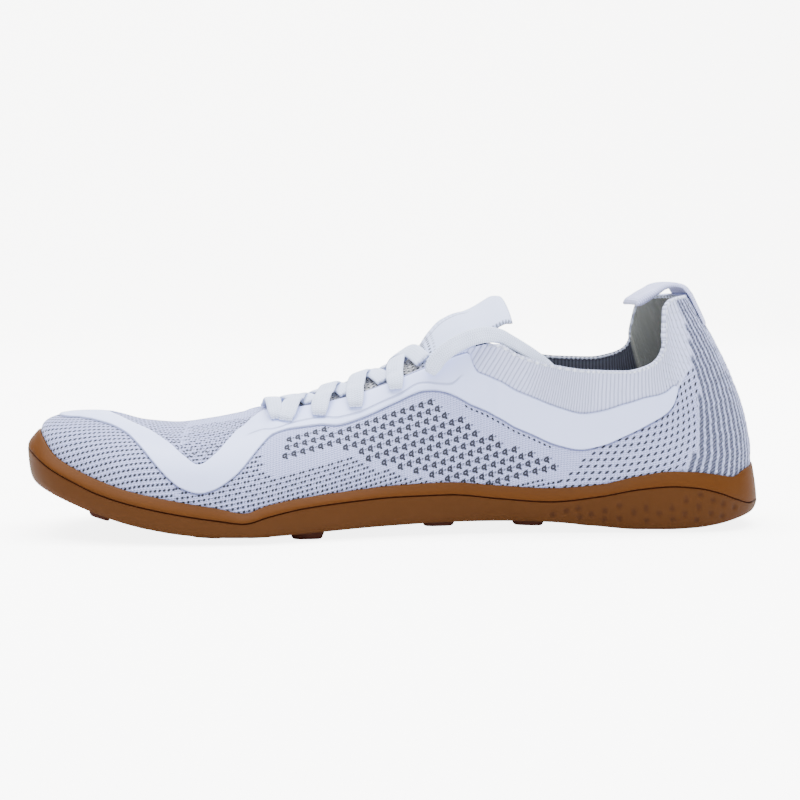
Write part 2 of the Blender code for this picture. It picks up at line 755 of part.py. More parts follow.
# The film strip: inner side, over the toe crest, outer side.
FILM_RIBS = sorted([31.0, 34.0, 115.2, 117.0] + [float(s) for s in rib_stations(RIB_SPACING) if s > 36])
film_loop = [(f, -1) for f in FILM_RIBS] + [(f, 1) for f in FILM_RIBS[-2::-1]]
FILM_COUNT = 7
film_lower = np.array([[tuple(p) for p in film_points(f, side, FILM_COUNT, FILM_AIR)]
                       for f, side in film_loop])
film_upper = np.array([[tuple(p) for p in film_points(f, side, FILM_COUNT, FILM_AIR + FILM_THICK)]
                       for f, side in film_loop])


def film_solid():
    """Closed strip; over the toe its two halves share the crest, so no wall stands there."""
    rows = len(film_loop)
    total = rows * FILM_COUNT
    points = list(film_lower.reshape(-1, 3)) + list(film_upper.reshape(-1, 3))
    quads = grid_faces(rows, FILM_COUNT)
    faces = [tuple(reversed(q)) for q in quads]
    faces += [tuple(i + total for i in q) for q in quads]
    high = [film_high(f) for f, _ in film_loop]
    for r in range(rows - 1):
        for c in (0, FILM_COUNT - 1):
            if c and high[r] > FULL_BOW and high[r + 1] > FULL_BOW:
                continue
            a = r * FILM_COUNT + c
            b = (r + 1) * FILM_COUNT + c
            faces.append((a, b, b + total, a + total))
    for r in (0, rows - 1):
        for c in range(FILM_COUNT - 1):
            a = r * FILM_COUNT + c
            faces.append((a, a + 1, a + 1 + total, a + total))
    return piece("overlay_film", points, faces, parts, film_look)


film = film_solid()

# Eyelet holes through film and knit.
bores = bmesh.new()
for number, foot, bow in EYELETS:
    for side in (-1, 1):
        inside = surface_point(foot, side, bow, -0.0060)
        outside = surface_point(foot, side, bow, 0.0040)
        made = bmesh.ops.create_cone(bores, cap_ends=True, cap_tris=False, segments=8,
                                     radius1=EYELET_BORE / 2, radius2=EYELET_BORE / 2, depth=1.0)
        axis = outside - inside
        turn = axis.to_track_quat("Z", "Y").to_matrix()
        for vert in made["verts"]:
            local = Vector((vert.co.x, vert.co.y, vert.co.z * axis.length))
            vert.co = turn @ local + (inside + outside) / 2
bore_mesh = bpy.data.meshes.new("eyelet_bores")
bmesh.ops.recalc_face_normals(bores, faces=bores.faces)
bores.to_mesh(bore_mesh)
bores.free()
bore_shapes = bpy.data.objects.new("eyelet_bores", bore_mesh)
bore_shapes.display_type = "WIRE"
bore_shapes.hide_render = True
cutters.objects.link(bore_shapes)
add_boolean(upper, bore_shapes, "DIFFERENCE")
add_boolean(film, bore_shapes, "DIFFERENCE")


# Surfaces that the tongue and the lace are laid against.
def tree_of(points, faces):
    return BVHTree.FromPolygons([tuple(p) for p in points], faces)


knit_tree = tree_of(upper_points, upper_faces)
film_tree = tree_of(film_upper.reshape(-1, 3), grid_faces(len(film_loop), FILM_COUNT))
SKY = Vector((0.0, 0.0, -1.0))


def fall(tree, along, across_mm):
    """Height in mm of a surface under a point of the plan, and its normal's upright part."""
    start = world((along, across_mm, 160.0))
    hit, normal, _, _ = tree.ray_cast(start, SKY)
    if hit is None:
        return None, 1.0
    return hit.z / (MM * TALL), max(0.25, abs(normal.z))


def middle(station):
    return float(read(PLAN, PLAN_COLUMNS, "middle", station))


# The tongue: an arched strip kept under the wall of the upper wherever that lies above it.
def tongue_height(station, u):
    crest = float(read(TONGUE, TONGUE_COLUMNS, "crest", station))
    half = float(read(TONGUE, TONGUE_COLUMNS, "half", station))
    drop = float(read(TONGUE, TONGUE_COLUMNS, "fall", station))
    roll = float(read(TONGUE, TONGUE_COLUMNS, "roll", station))
    tilt = float(read(TONGUE, TONGUE_COLUMNS, "tilt", station))
    y = middle(station) + half * u
    rolled = roll * max(0.0, abs(u) - ROLL_START) / (1.0 - ROLL_START)
    z = crest + tilt * u - drop * abs(u) ** TONGUE_CROWN + rolled * (1.0 if u > 0 else ROLL_INNER)
    for reach in (-3.0, -1.5, 0.0, 1.5, 3.0):
        top, upright = fall(knit_tree, station, y + reach)
        if top is not None and top > z - 12.0:
            z = min(z, top - (WALL + TONGUE_AIR) / MM / upright)
    return station, y, z


TONGUE_STATIONS = (100.5, 102.2, 104.5, 108, 112, 116.5, 121, 125, 129, 133, 137, 141, 146,
                   152, 160, 168, 176, 184, 191, 198, 204.5)
TONGUE_ACROSS = (-1.0, -0.84, -0.5, 0.0, 0.5, 0.84, 1.0)
tongue_top = np.array([[tuple(world(tongue_height(s, u))) for u in TONGUE_ACROSS]
                       for s in TONGUE_STATIONS])
tongue_normal = grid_normals(tongue_top)
if tongue_normal[5, 3, 2] < 0:
    tongue_normal = -tongue_normal
tongue_under = tongue_top - tongue_normal * TONGUE_THICK
tongue = slab("tongue", tongue_under, tongue_top, parts, tongue_look)
tongue_tree = tree_of(tongue_top.reshape(-1, 3), grid_faces(len(TONGUE_STATIONS), len(TONGUE_ACROSS)))


# The lace: flat ribbons laid over tongue and film.
def lie(along, across_mm):
    """Highest of the faces below a lace, looking a little to every side."""
    best = None
    for da in (-1.2, 0.0, 1.2):
        for dc in (-1.2, 0.0, 1.2):
            for tree in (film_tree, knit_tree, tongue_tree):
                z, _ = fall(tree, along + da, across_mm + dc)
                if z is not None and (best is None or z > best):
                    best = z
    return best


def lace_arch(t):
    """Rise of a crossing: quick where it leaves its hole, low where it dives at the far edge."""
    wave = math.sin(math.pi * t)
    return wave ** 0.6 if t < 0.5 else wave ** 2.0


def ribbon(name, start, end, arch, into):
    """Flat strip between two points of the plan, arched over what lies below."""
    steps = 10
    a = np.array(start, dtype=float)
    b = np.array(end, dtype=float)
    run = (b - a) / np.linalg.norm(b - a)
    aside = np.array([-run[1], run[0]])
    grid = []
    for i in range(steps + 1):
        t = i / steps
        p = a * (1 - t) + b * t
        row = []
        for c in (-1.0, 0.0, 1.0):
            q = p + aside * c * LACE_WIDTH / MM / 2
            z = lie(q[0], q[1]) + LACE_AIR / MM + arch / MM * lace_arch(t)
            row.append(tuple(world((q[0], q[1], z))))
        grid.append(row)
    grid = np.array(grid)
    normal = grid_normals(grid)
    if normal[steps // 2, 1, 2] < 0:
        normal = -normal
    return slab(name, grid, grid + normal * LACE_THICK, into, lace_look)


def eyelet_spot(number, side):
    row = [r for r in EYELETS if r[0] == number][0]
    p = surface_point(row[1], side, row[2], 0.0)
    return (HEEL_X - p.x) / (MM * LONG), p.y / (MM * WIDE)


def throat_spot(number, side, inside):
    """Plan point just inside the throat edge beside an eyelet."""
    row = [r for r in EYELETS if r[0] == number][0]
    half = float(read(RIBS, RIB_COLUMNS, "half", row[1] + 1.0))
    return row[1] + 2.6, middle(row[1]) + side * (half - inside)


def crossing(number, arch, short):
    base = None
    for side, extra in ((-1, 0.0), (1, 0.0008)):
        from_spot = eyelet_spot(number, side)
        to_spot = throat_spot(number + 1, -side, short)
        away = (from_spot[0], from_spot[1] + side * 1.0)
        if base is None:
            base = ribbon(f"lace_cross_{number}", away, to_spot, arch * MM + extra, parts)
        else:
            other = ribbon(f"lace_second_{number}", away, to_spot, arch * MM + extra, cutters)
            other.display_type = "WIRE"
            other.hide_render = True
            add_boolean(base, other, "UNION")
    return base


crossings = [crossing(*row) for row in CROSSES]
bar_half = float(read(RIBS, RIB_COLUMNS, "half", 190.5)) - BAR_SHORT
bar_middle = middle(190.0)
bar = ribbon("lace_bar", (191.0, bar_middle - bar_half), (191.0, bar_middle + bar_half), BAR_ARCH, cutters)
bar.display_type = "WIRE"
bar.hide_render = True
add_boolean(crossings[0], bar, "UNION")


# The loose end rises from the top inner eyelet and drops into the collar.
END_STEPS = np.linspace(0, len(LACE_END) - 1, 2 * len(LACE_END) - 1)
end_rows = [[float(read(LACE_END, LACE_END_COLUMNS, name, t)) for name in LACE_END_COLUMNS[1:]]
            for t in END_STEPS]
end_path = np.array([tuple(world(row[0:3])) for row in end_rows])
end_grid = []
for i, row in enumerate(end_rows):
    before = end_path[max(0, i - 1)]
    after = end_path[min(len(end_path) - 1, i + 1)]
    run = (after - before) / np.linalg.norm(after - before)
    lean = math.radians(row[3])
    face = np.array([0.0, -math.cos(lean), math.sin(lean)])
    wide = np.cross(run, face)
    wide = wide / np.linalg.norm(wide)
    end_grid.append([end_path[i] + wide * c * LACE_WIDTH / 2 for c in (-1.0, 0.0, 1.0)])
end_grid = np.array(end_grid)
end_normal = grid_normals(end_grid)
if end_normal[8, 1, 1] > 0:
    end_normal = -end_normal
lace_end = slab("lace_end_inner", end_grid - end_normal * LACE_THICK / 2,
                end_grid + end_normal * LACE_THICK / 2, parts, lace_look)


# The pull tab: up the back of the upper, over the rim and forward.
def tab_side(g):
    return (abs(g), -1 if g < 0 else 1)


tab_lower = []
tab_upper = []
TAB_ACROSS = [TAB_FOOT * c / 3 for c in (-3, -2, -1, 0, 1, 2, 3)]
for v in (TAB_LOW, 0.82, 0.86, 0.90, 0.94, 0.975):
    tab_lower.append([tuple(surface_point(*tab_side(g), v, TAB_AIR)) for g in TAB_ACROSS])
    tab_upper.append([tuple(surface_point(*tab_side(g), v, TAB_AIR + 0.0016)) for g in TAB_ACROSS])
tab_path = np.array([row[1:3] for row in TAB])
tab_run = np.gradient(tab_path, axis=0)
tab_run = tab_run / np.linalg.norm(tab_run, axis=1, keepdims=True)
for i, row in enumerate(TAB):
    low_row = []
    high_row = []
    for g in TAB_ACROSS:
        foot, side = tab_side(g)
        top = upper_bow(foot, side, 1.0)
        ahead = (float(top[0]) - float(upper_bow(0.0, 1, 1.0)[0])) * max(0.0, 1.0 - i / 4.0)
        sag = 0.4 * (g / TAB_FOOT) ** 2
        y = float(top[1])
        low = (row[1] + ahead, y, row[2] - sag)
        high = (row[1] + ahead - tab_run[i][1] * row[3], y, row[2] - sag + tab_run[i][0] * row[3])
        low_row.append(tuple(world(low)))
        high_row.append(tuple(world(high)))
    tab_lower.append(low_row)
    tab_upper.append(high_row)
tab = slab("heel_pull_tab", np.array(tab_lower), np.array(tab_upper), parts, tab_look)
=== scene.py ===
# %% [markdown]
# # A knitted barefoot shoe on a gum rubber cup sole
# The shoe is a thin knitted sock, held in a shallow rubber cup, with a smooth film fused over the knit
# where the foot needs support. It is drawn here as sheets over one set of ribs, the same ribs that the
# solid model has, so every visible piece lies where its solid is.

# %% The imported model
import math

import bmesh
import bpy
import numpy as np
from mathutils import Matrix, Vector
from mathutils.bvhtree import BVHTree

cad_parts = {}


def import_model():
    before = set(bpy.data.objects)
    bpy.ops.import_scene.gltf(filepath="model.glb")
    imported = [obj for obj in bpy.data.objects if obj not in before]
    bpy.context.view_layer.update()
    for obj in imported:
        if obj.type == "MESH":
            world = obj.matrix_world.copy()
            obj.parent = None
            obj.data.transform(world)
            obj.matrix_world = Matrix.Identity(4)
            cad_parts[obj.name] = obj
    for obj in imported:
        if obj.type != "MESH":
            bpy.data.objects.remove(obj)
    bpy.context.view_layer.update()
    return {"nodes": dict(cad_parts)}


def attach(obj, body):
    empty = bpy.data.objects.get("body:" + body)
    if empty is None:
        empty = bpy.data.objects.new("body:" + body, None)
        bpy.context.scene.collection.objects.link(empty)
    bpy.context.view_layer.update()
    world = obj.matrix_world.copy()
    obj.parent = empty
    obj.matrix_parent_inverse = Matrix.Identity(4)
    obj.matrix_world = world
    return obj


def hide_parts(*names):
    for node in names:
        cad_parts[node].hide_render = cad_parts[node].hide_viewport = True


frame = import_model()
print("nodes:", sorted(frame["nodes"]))

# %% [markdown]
# The camera stands where the photographer stood: 0.7 m away on the inner side of the foot, eight
# degrees towards the toe and a little above the shoe. The frame is square, so one lens length fixes it.

# %% Camera
CAMERA_PLACE = Vector((-0.20532, -0.69319, 0.1065))
CAMERA_AIM = Vector((-0.1079, 0.0, 0.04858))
CAMERA_ROLL = math.radians(0.441)
camera_data = bpy.data.cameras.new("camera")
camera_data.sensor_width = 36.0
camera_data.lens = 80.99
camera = bpy.data.objects.new("camera", camera_data)
bpy.context.scene.collection.objects.link(camera)
look = (CAMERA_AIM - CAMERA_PLACE).to_track_quat("-Z", "Y").to_matrix().to_4x4()
camera.matrix_world = Matrix.Translation(CAMERA_PLACE) @ look @ Matrix.Rotation(CAMERA_ROLL, 4, "Z")
bpy.context.scene.camera = camera
print("camera at", tuple(round(c, 3) for c in CAMERA_PLACE))

# %% [markdown]
# All shapes start from short tables in millimetres: stations run from the back of the heel to the toe.
# Reading a table through a monotone cubic gives a smooth line that never overshoots its rows.

# %% Reading a table
MM = 0.001
HEEL_BACK = 35.0               # the frame's origin lies this far in front of the heel's back
LENGTH = 285.0


def read(table, column, at):
    """Smooth reading of one column of a table against its first column."""
    rows = np.array(table, dtype=float)
    x = rows[:, 0]
    y = rows[:, column]
    at = np.clip(np.asarray(at, dtype=float), x[0], x[-1])
    step = np.diff(x)
    slope = np.diff(y) / step
    tangent = np.zeros(len(x))
    tangent[0] = slope[0]
    tangent[-1] = slope[-1]
    for i in range(1, len(x) - 1):
        if slope[i - 1] * slope[i] > 0:
            w1 = 2 * step[i] + step[i - 1]
            w2 = step[i] + 2 * step[i - 1]
            tangent[i] = (w1 + w2) / (w1 / slope[i - 1] + w2 / slope[i])
    i = np.clip(np.searchsorted(x, at, side="right") - 1, 0, len(x) - 2)
    h = step[i]
    t = (at - x[i]) / h
    return ((2 * t**3 - 3 * t**2 + 1) * y[i] + (t**3 - 2 * t**2 + t) * h * tangent[i]
            + (3 * t**2 - 2 * t**3) * y[i + 1] + (t**3 - t**2) * h * tangent[i + 1])


def world(p):
    """Table millimetres (station, across, height) to metres in the frame."""
    p = np.asarray(p, dtype=float)
    return np.stack([(HEEL_BACK - p[..., 0]) * MM, p[..., 1] * MM, p[..., 2] * MM], axis=-1)


def unit(vectors):
    """The same directions with a length of one."""
    return vectors / np.maximum(np.linalg.norm(vectors, axis=-1, keepdims=True), 1e-12)


def square_to(run, vectors):
    """Unit vectors turned square to a line's own direction."""
    return unit(vectors - run * np.sum(vectors * run, axis=-1, keepdims=True))


def way_along(points):
    """Distance from the first point to each one, along a line or along every row of a grid."""
    steps = np.linalg.norm(np.diff(points, axis=-2), axis=-1)
    return np.concatenate([np.zeros(steps.shape[:-1] + (1,)), np.cumsum(steps, axis=-1)], axis=-1)


print("tables run over", LENGTH, "mm")


# %% [markdown]
# Every mesh here comes from a grid or a list of points, so one helper makes the object, welds it,
# smooths it, hands over its per-point values, and says which body carries it.

# %% Making a mesh
home = bpy.context.scene.collection


def make_mesh(name, points, faces, looks, values=None, slots=None, weld=0.00001, sharp=None):
    """Mesh object in metres; values are named per-point numbers that the materials read."""
    mesh = bpy.data.meshes.new(name)
    mesh.from_pydata([tuple(p) for p in points], [], [tuple(int(i) for i in f) for f in faces])
    for key, numbers in (values or {}).items():
        layer = mesh.attributes.new(key, "FLOAT", "POINT")
        layer.data.foreach_set("value", np.asarray(numbers, dtype=np.float32).ravel())
    for material in looks:
        mesh.materials.append(material)
    if slots is not None:
        mesh.polygons.foreach_set("material_index", np.asarray(slots, dtype=np.int32))
    work = bmesh.new()
    work.from_mesh(mesh)
    bmesh.ops.remove_doubles(work, verts=work.verts, dist=weld)
    bmesh.ops.dissolve_degenerate(work, dist=0.000002, edges=work.edges)
    bmesh.ops.recalc_face_normals(work, faces=work.faces)
    work.to_mesh(mesh)
    work.free()
    mesh.polygons.foreach_set("use_smooth", [True] * len(mesh.polygons))
    if sharp is not None:
        mesh.set_sharp_from_angle(angle=math.radians(sharp))
    made = bpy.data.objects.new(name, mesh)
    home.objects.link(made)
    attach(made, "root")
    return made


print("mesh helper ready")

# %% [markdown]
# Three ways of joining points cover every piece: an open or closed grid, a tube of rings with caps, and
# a thin sheet, which is a grid, its copy on the back and the edges between them.

# %% Grids, tubes and sheets
def grid_faces(rows, columns, close_rows=False, close_columns=False, base=0):
    """Quads of a grid whose points run row by row."""
    r = np.arange(rows if close_rows else rows - 1)
    c = np.arange(columns if close_columns else columns - 1)
    r, c = np.meshgrid(r, c, indexing="ij")
    n = (r + 1) % rows
    d = (c + 1) % columns
    quads = np.stack([r * columns + c, r * columns + d, n * columns + d, n * columns + c], axis=-1)
    return (quads.reshape(-1, 4) + base).tolist()


def grid_normals(grid, close_rows=False):
    """Unit normals of a grid of points."""
    down = np.roll(grid, -1, axis=0) - np.roll(grid, 1, axis=0) if close_rows else np.gradient(grid, axis=0)
    return unit(np.cross(np.gradient(grid, axis=1), down))


def tube_faces(rings, sides):
    """Faces of a tube made of rings, closed at both ends."""
    caps = [list(range(sides)), list(range((rings - 1) * sides, rings * sides))]
    return grid_faces(rings, sides, close_columns=True) + caps


def shell_faces(rows, columns, open_rows=None):
    """Front quads, and all faces of a sheet with a back and edges; open_rows get no last edge."""
    size = rows * columns
    front = grid_faces(rows, columns)
    faces = front + [[i + size for i in quad] for quad in front]
    for i in range(rows - 1):
        for column in (0, columns - 1):
            if column and open_rows is not None and open_rows[i] and open_rows[i + 1]:
                continue
            a, b = i * columns + column, (i + 1) * columns + column
            faces.append([a, b, b + size, a + size])
    for a in [i * columns + c for i in (0, rows - 1) for c in range(columns - 1)]:
        faces.append([a, a + 1, a + 1 + size, a + size])
    return front, faces


def two_faces(front, back):
    return np.concatenate([front.reshape(-1, 3), back.reshape(-1, 3)])


def on_both(values):
    """Per-point numbers repeated for the back of a sheet."""
    return {key: np.concatenate([numbers.ravel(), numbers.ravel()]) for key, numbers in values.items()}


print("grid, tube and sheet helpers ready")

# %% [markdown]
# A material here is a graph of small nodes. A few helpers keep it readable: one adds a node, some do
# sums on sockets or plain numbers, where a product of masks means all of them at once, and one lays
# colours over each other by mask and share.

# %% Building materials
def node(tree, kind, **settings):
    made = tree.nodes.new(kind)
    for key, value in settings.items():
        setattr(made, key, value)
    return made


def feed(tree, socket, value):
    """Link a socket, or set a plain number or colour on it."""
    if isinstance(value, bpy.types.NodeSocket):
        tree.links.new(value, socket)
    else:
        socket.default_value = value


def sum_of(tree, operation, *values, clamp=False):
    made = node(tree, "ShaderNodeMath", operation=operation, use_clamp=clamp)
    for socket, value in zip(made.inputs, values):
        feed(tree, socket, value)
    return made.outputs[0]


def plus(tree, a, b):
    return sum_of(tree, "ADD", a, b)


def minus(tree, a, b):
    return sum_of(tree, "SUBTRACT", a, b)


def times(tree, *values):
    total = values[0]
    for value in values[1:]:
        total = sum_of(tree, "MULTIPLY", total, value)
    return total


def either(tree, *masks):
    total = masks[0]
    for mask in masks[1:]:
        total = sum_of(tree, "MAXIMUM", total, mask)
    return total


def size_of(tree, value):
    return sum_of(tree, "ABSOLUTE", value)


def is_over(tree, value, level):
    return sum_of(tree, "GREATER_THAN", value, level)


def is_under(tree, value, level):
    return sum_of(tree, "LESS_THAN", value, level)


def ripple_of(tree, value, pitch):
    """A wave from 0 to 1 with its crest at whole pitches."""
    wave = sum_of(tree, "COSINE", times(tree, value, 2 * math.pi / pitch))
    return plus(tree, times(tree, wave, 0.5), 0.5)


print("sums on sockets ready")

# %% [markdown]
# A mask is a number from 0 to 1 over the surface. It comes from a value that the mesh carries, from
# noise, or from a soft step between two levels, and it says how much of a colour shows.

# %% Masks and colours
def point_value(tree, name):
    """A number that the mesh carries at its points."""
    return node(tree, "ShaderNodeAttribute", attribute_name=name).outputs["Fac"]


def noise(tree, scale, detail=2.0):
    """A soft cloudy number over the object, finer with a larger scale."""
    made = node(tree, "ShaderNodeTexNoise")
    made.inputs["Scale"].default_value = scale
    made.inputs["Detail"].default_value = detail
    feed(tree, made.inputs["Vector"], node(tree, "ShaderNodeTexCoord").outputs["Object"])
    return made.outputs["Fac"]


def ramp(tree, value, low, high, smooth=True):
    """0 at low and 1 at high; low may be the larger one."""
    made = node(tree, "ShaderNodeMapRange", clamp=True)
    made.interpolation_type = "SMOOTHSTEP" if smooth else "LINEAR"
    feed(tree, made.inputs["Value"], value)
    feed(tree, made.inputs["From Min"], low)
    feed(tree, made.inputs["From Max"], high)
    return made.outputs["Result"]


def mix_colour(tree, share, a, b):
    made = node(tree, "ShaderNodeMix", data_type="RGBA")
    feed(tree, made.inputs["Factor"], share)
    feed(tree, made.inputs["A"], a)
    feed(tree, made.inputs["B"], b)
    return made.outputs["Result"]


def rgb(red, green, blue):
    """A colour picked as screen values 0 to 255, turned into the linear numbers that shading needs."""
    return tuple(((c / 255 + 0.055) / 1.055) ** 2.4 if c > 10 else c / 255 / 12.92
                 for c in (red, green, blue)) + (1.0,)


def layers(tree, tone, *rows):
    """Colours laid over a tone one after another: mask, share of it that shows, colour."""
    for mask, share, colour in rows:
        tone = mix_colour(tree, times(tree, mask, share), tone, rgb(*colour))
    return tone


print("mask helpers ready")

# %% [markdown]
# The shader itself stays in the material. A group only hands back numbers, so that several materials
# can share one pattern and each can use it with its own values.

# %% Materials and groups
def new_material(name, roughness, sheen=0.0):
    """Principled material; constants go on the shader's own sockets."""
    material = bpy.data.materials.new(name)
    material.use_nodes = True
    shader = material.node_tree.nodes["Principled BSDF"]
    shader.inputs["Roughness"].default_value = roughness
    shader.inputs["Sheen Weight"].default_value = sheen
    shader.inputs["Sheen Roughness"].default_value = 0.4
    return material, material.node_tree, shader


def bump(tree, shader, height, strength, distance):
    made = node(tree, "ShaderNodeBump")
    made.inputs["Strength"].default_value = strength
    made.inputs["Distance"].default_value = distance
    feed(tree, made.inputs["Height"], height)
    tree.links.new(made.outputs["Normal"], shader.inputs["Normal"])


def new_group(name, inputs, outputs):
    """Shader group with named number sockets."""
    tree = bpy.data.node_groups.new(name, "ShaderNodeTree")
    for label, default in inputs:
        socket = tree.interface.new_socket(label, in_out="INPUT", socket_type="NodeSocketFloat")
        socket.default_value = default
    for label in outputs:
        tree.interface.new_socket(label, in_out="OUTPUT", socket_type="NodeSocketFloat")
    return tree, node(tree, "NodeGroupInput").outputs, node(tree, "NodeGroupOutput").inputs


def place_group(tree, group, **values):
    """A group in a material; underscores in the keywords stand for spaces in the socket names."""
    made = node(tree, "ShaderNodeGroup", node_tree=group)
    for key, value in values.items():
        feed(tree, made.inputs[key.replace("_", " ")], value)
    return made.outputs


print("material helpers ready")

# %% [markdown]
# The flat woven lace shows rows of short chevrons across its width, softly rounded. The same group of
# nodes makes them on the lace, its crossings and the pull tab, each with its own pitch. It reads two
# values of the mesh: how far along the ribbon a point lies, and how far across it.

# %% Woven ribbon
weave_group, g_in, g_out = new_group("woven_rows", [("Along", 0.0), ("Across", 0.0), ("Pitch", 0.8),
                                                    ("Wales", 1.0)], ["Height", "Shade"])
w = weave_group
lean = times(w, sum_of(w, "PINGPONG", g_in["Across"], g_in["Wales"]), 0.55)
rows = sum_of(w, "FRACT", sum_of(w, "DIVIDE", plus(w, g_in["Along"], lean), g_in["Pitch"]))
row_top = sum_of(w, "SINE", times(w, rows, math.pi))
wale = sum_of(w, "DIVIDE", sum_of(w, "PINGPONG", g_in["Across"], g_in["Wales"]), g_in["Wales"])
wale_top = sum_of(w, "SINE", times(w, wale, math.pi))
relief = times(w, row_top, plus(w, times(w, wale_top, 0.45), 0.55))
feed(w, g_out["Height"], relief)
feed(w, g_out["Shade"], minus(w, 1.0, relief))
print("woven rows group made")


def woven_material(name, light, dark, pitch, wales, depth, roughness):
    """Ribbon of light threads with darker rows between them."""
    material, tree, shader = new_material(name, roughness, sheen=0.15)
    weave = place_group(tree, weave_group, Along=point_value(tree, "along"),
                        Across=point_value(tree, "over"), Pitch=pitch, Wales=wales)
    share = sum_of(tree, "MULTIPLY", weave["Shade"], plus(tree, noise(tree, 160.0), 0.25), clamp=True)
    tree.links.new(mix_colour(tree, share, light, dark), shader.inputs["Base Color"])
    bump(tree, shader, weave["Height"], depth, 0.0003)
    return material


lace_look = woven_material("lace_cotton", rgb(216, 226, 252), rgb(160, 168, 200), 0.85, 1.1, 0.5, 0.8)

# %% [markdown]
# A flat lace is a rounded strip: a flattened oval swept along a line, with its own width direction at
# every point. The sweep keeps the distance along the strip, so the weave has the same scale everywhere.

# %% Sweeping a flat strip
LACE_WIDTH = 6.8
LACE_THICK = 1.45
OVAL = [(math.cos(a), math.sin(a)) for a in np.linspace(0, 2 * math.pi, 18, endpoint=False)]


def strip(name, line, faces_out, look, width=LACE_WIDTH, thick=LACE_THICK, widths=None):
    """Flat strip along a line in table millimetres; faces_out is the outward direction at each point."""
    line = np.asarray(line, dtype=float)
    path = world(line) / MM
    run = unit(np.gradient(path, axis=0))
    out = square_to(run, np.array(faces_out, dtype=float) * (-1.0, 1.0, 1.0))
    side = np.cross(run, out)
    along = way_along(path)
    widths = np.ones(len(path)) if widths is None else np.asarray(widths, dtype=float)
    points, alongs, overs = [], [], []
    for i in range(len(path)):
        for cx, cy in OVAL:
            across = math.copysign(abs(cx) ** 0.55, cx) * width / 2 * widths[i]
            lift = math.copysign(abs(cy) ** 0.8, cy) * thick / 2
            points.append((path[i] + side[i] * across + out[i] * lift) * MM)
            alongs.append(along[i])
            overs.append(across + width)
    made = make_mesh(name, points, tube_faces(len(path), len(OVAL)), [look], {"along": alongs, "over": overs})
    return made, path * MM, float(along[-1]) * MM


print("oval of the strip:", len(OVAL), "points")

# %% [markdown]
# The loose end of the lace leaves the top inner eyelet, lies over the front of the collar and drops
# into the shoe. It is the only free cord here, so it is made first, along the route of its solid.

# %% Loose end of the lace
LACE_END = (                   # step, station, across, height, lean of its face in degrees
    (0, 134.6, -21.4, 60.4, 44.0),
    (1, 132.3, -22.0, 65.0, 42.0),
    (2, 127.8, -22.4, 69.5, 36.0),
    (3, 123.2, -22.6, 72.3, 32.0),
    (4, 118.1, -22.4, 74.3, 30.0),
    (5, 112.9, -21.8, 75.2, 30.0),
    (6, 108.3, -20.6, 74.7, 34.0),
    (7, 103.4, -19.2, 72.5, 40.0),
    (8, 98.5, -17.8, 69.9, 44.0),
    (9, 93.8, -16.6, 67.0, 46.0),
    (10, 88.4, -15.6, 62.8, 46.0),
    (11, 83.4, -15.0, 57.6, 46.0),
)
END_POINTS = 45
end_steps = np.linspace(0, LACE_END[-1][0], END_POINTS)
end_line = np.stack([read(LACE_END, k, end_steps) for k in (1, 2, 3)], axis=1)
end_lean = np.radians(read(LACE_END, 4, end_steps))
end_out = np.stack([np.zeros(END_POINTS), -np.cos(end_lean), np.sin(end_lean)], axis=1)
end_narrow = np.clip(0.62 + 0.13 * np.arange(END_POINTS), 0, 1)
lace_end, end_path, end_length = strip("lace_end", end_line, end_out, lace_look, widths=end_narrow)
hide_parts("lace_end_inner")
print("loose end of the lace:", round(end_length, 4), "m")


# %% [markdown]
# The shapes of sole and upper come from the same tables as the solid model. The outline of the sole is
# two half widths about a middle line, closed at heel and toe by a superellipse, which is squarer than a
# circle, as real lasts are.

# %% Outline of the sole
PLAN = (                       # station, inner half, outer half, middle
    (0, 33.0, 34.0, 0.0),
    (35, 33.0, 34.0, 0.0),
    (75, 30.3, 35.0, 0.0),
    (110, 28.5, 37.0, 0.0),
    (150, 33.0, 44.5, 0.0),
    (180, 40.3, 52.0, 0.0),
    (205, 46.0, 54.0, 0.0),
    (225, 44.8, 50.0, -0.8),
    (250, 37.5, 42.5, -3.4),
    (268, 32.0, 38.0, -6.2),
    (285, 31.0, 34.0, -9.0),
)
HEEL_CAP = 34.0
TOE_CAP = 40.0
CAP_POWER = 2.3
INNER = -1
OUTER = 1


def cap(distance, radius):
    left = np.clip(1 - distance / radius, 0, 1)
    return (1 - left**CAP_POWER) ** (1 / CAP_POWER)


def plan_point(station, side):
    width = read(PLAN, 1 if side < 0 else 2, station)
    full = width * cap(station, HEEL_CAP) * cap(LENGTH - station, TOE_CAP)
    return station, read(PLAN, 3, station) + side * full


def plan_inset(station, side, inset):
    """The outline moved inwards along its own normal: station, across, and that normal."""
    station = np.asarray(station, dtype=float)
    a = np.clip(station - 0.02, 0, LENGTH)
    b = np.clip(station + 0.02, 0, LENGTH)
    dy = plan_point(b, side)[1] - plan_point(a, side)[1]
    dx = b - a
    size = np.hypot(dx, dy)
    nx = dy / size * -side
    ny = dx / size * side
    ends = (station <= 0.001) | (station >= LENGTH - 0.001)
    nx = np.where(ends, np.where(station < 100, -1.0, 1.0), nx)
    ny = np.where(ends, 0.0, ny)
    x, y = plan_point(station, side)
    return x - nx * inset, y - ny * inset, nx, ny


print("widest at the ball:", sum(max(row[k] for row in PLAN) for k in (1, 2)), "mm")

# %% [markdown]
# Seen from the side, four lines describe the sole: the tread with its arch and toe spring, the groove,
# the rim, and how far the wall leans in between groove and rim.

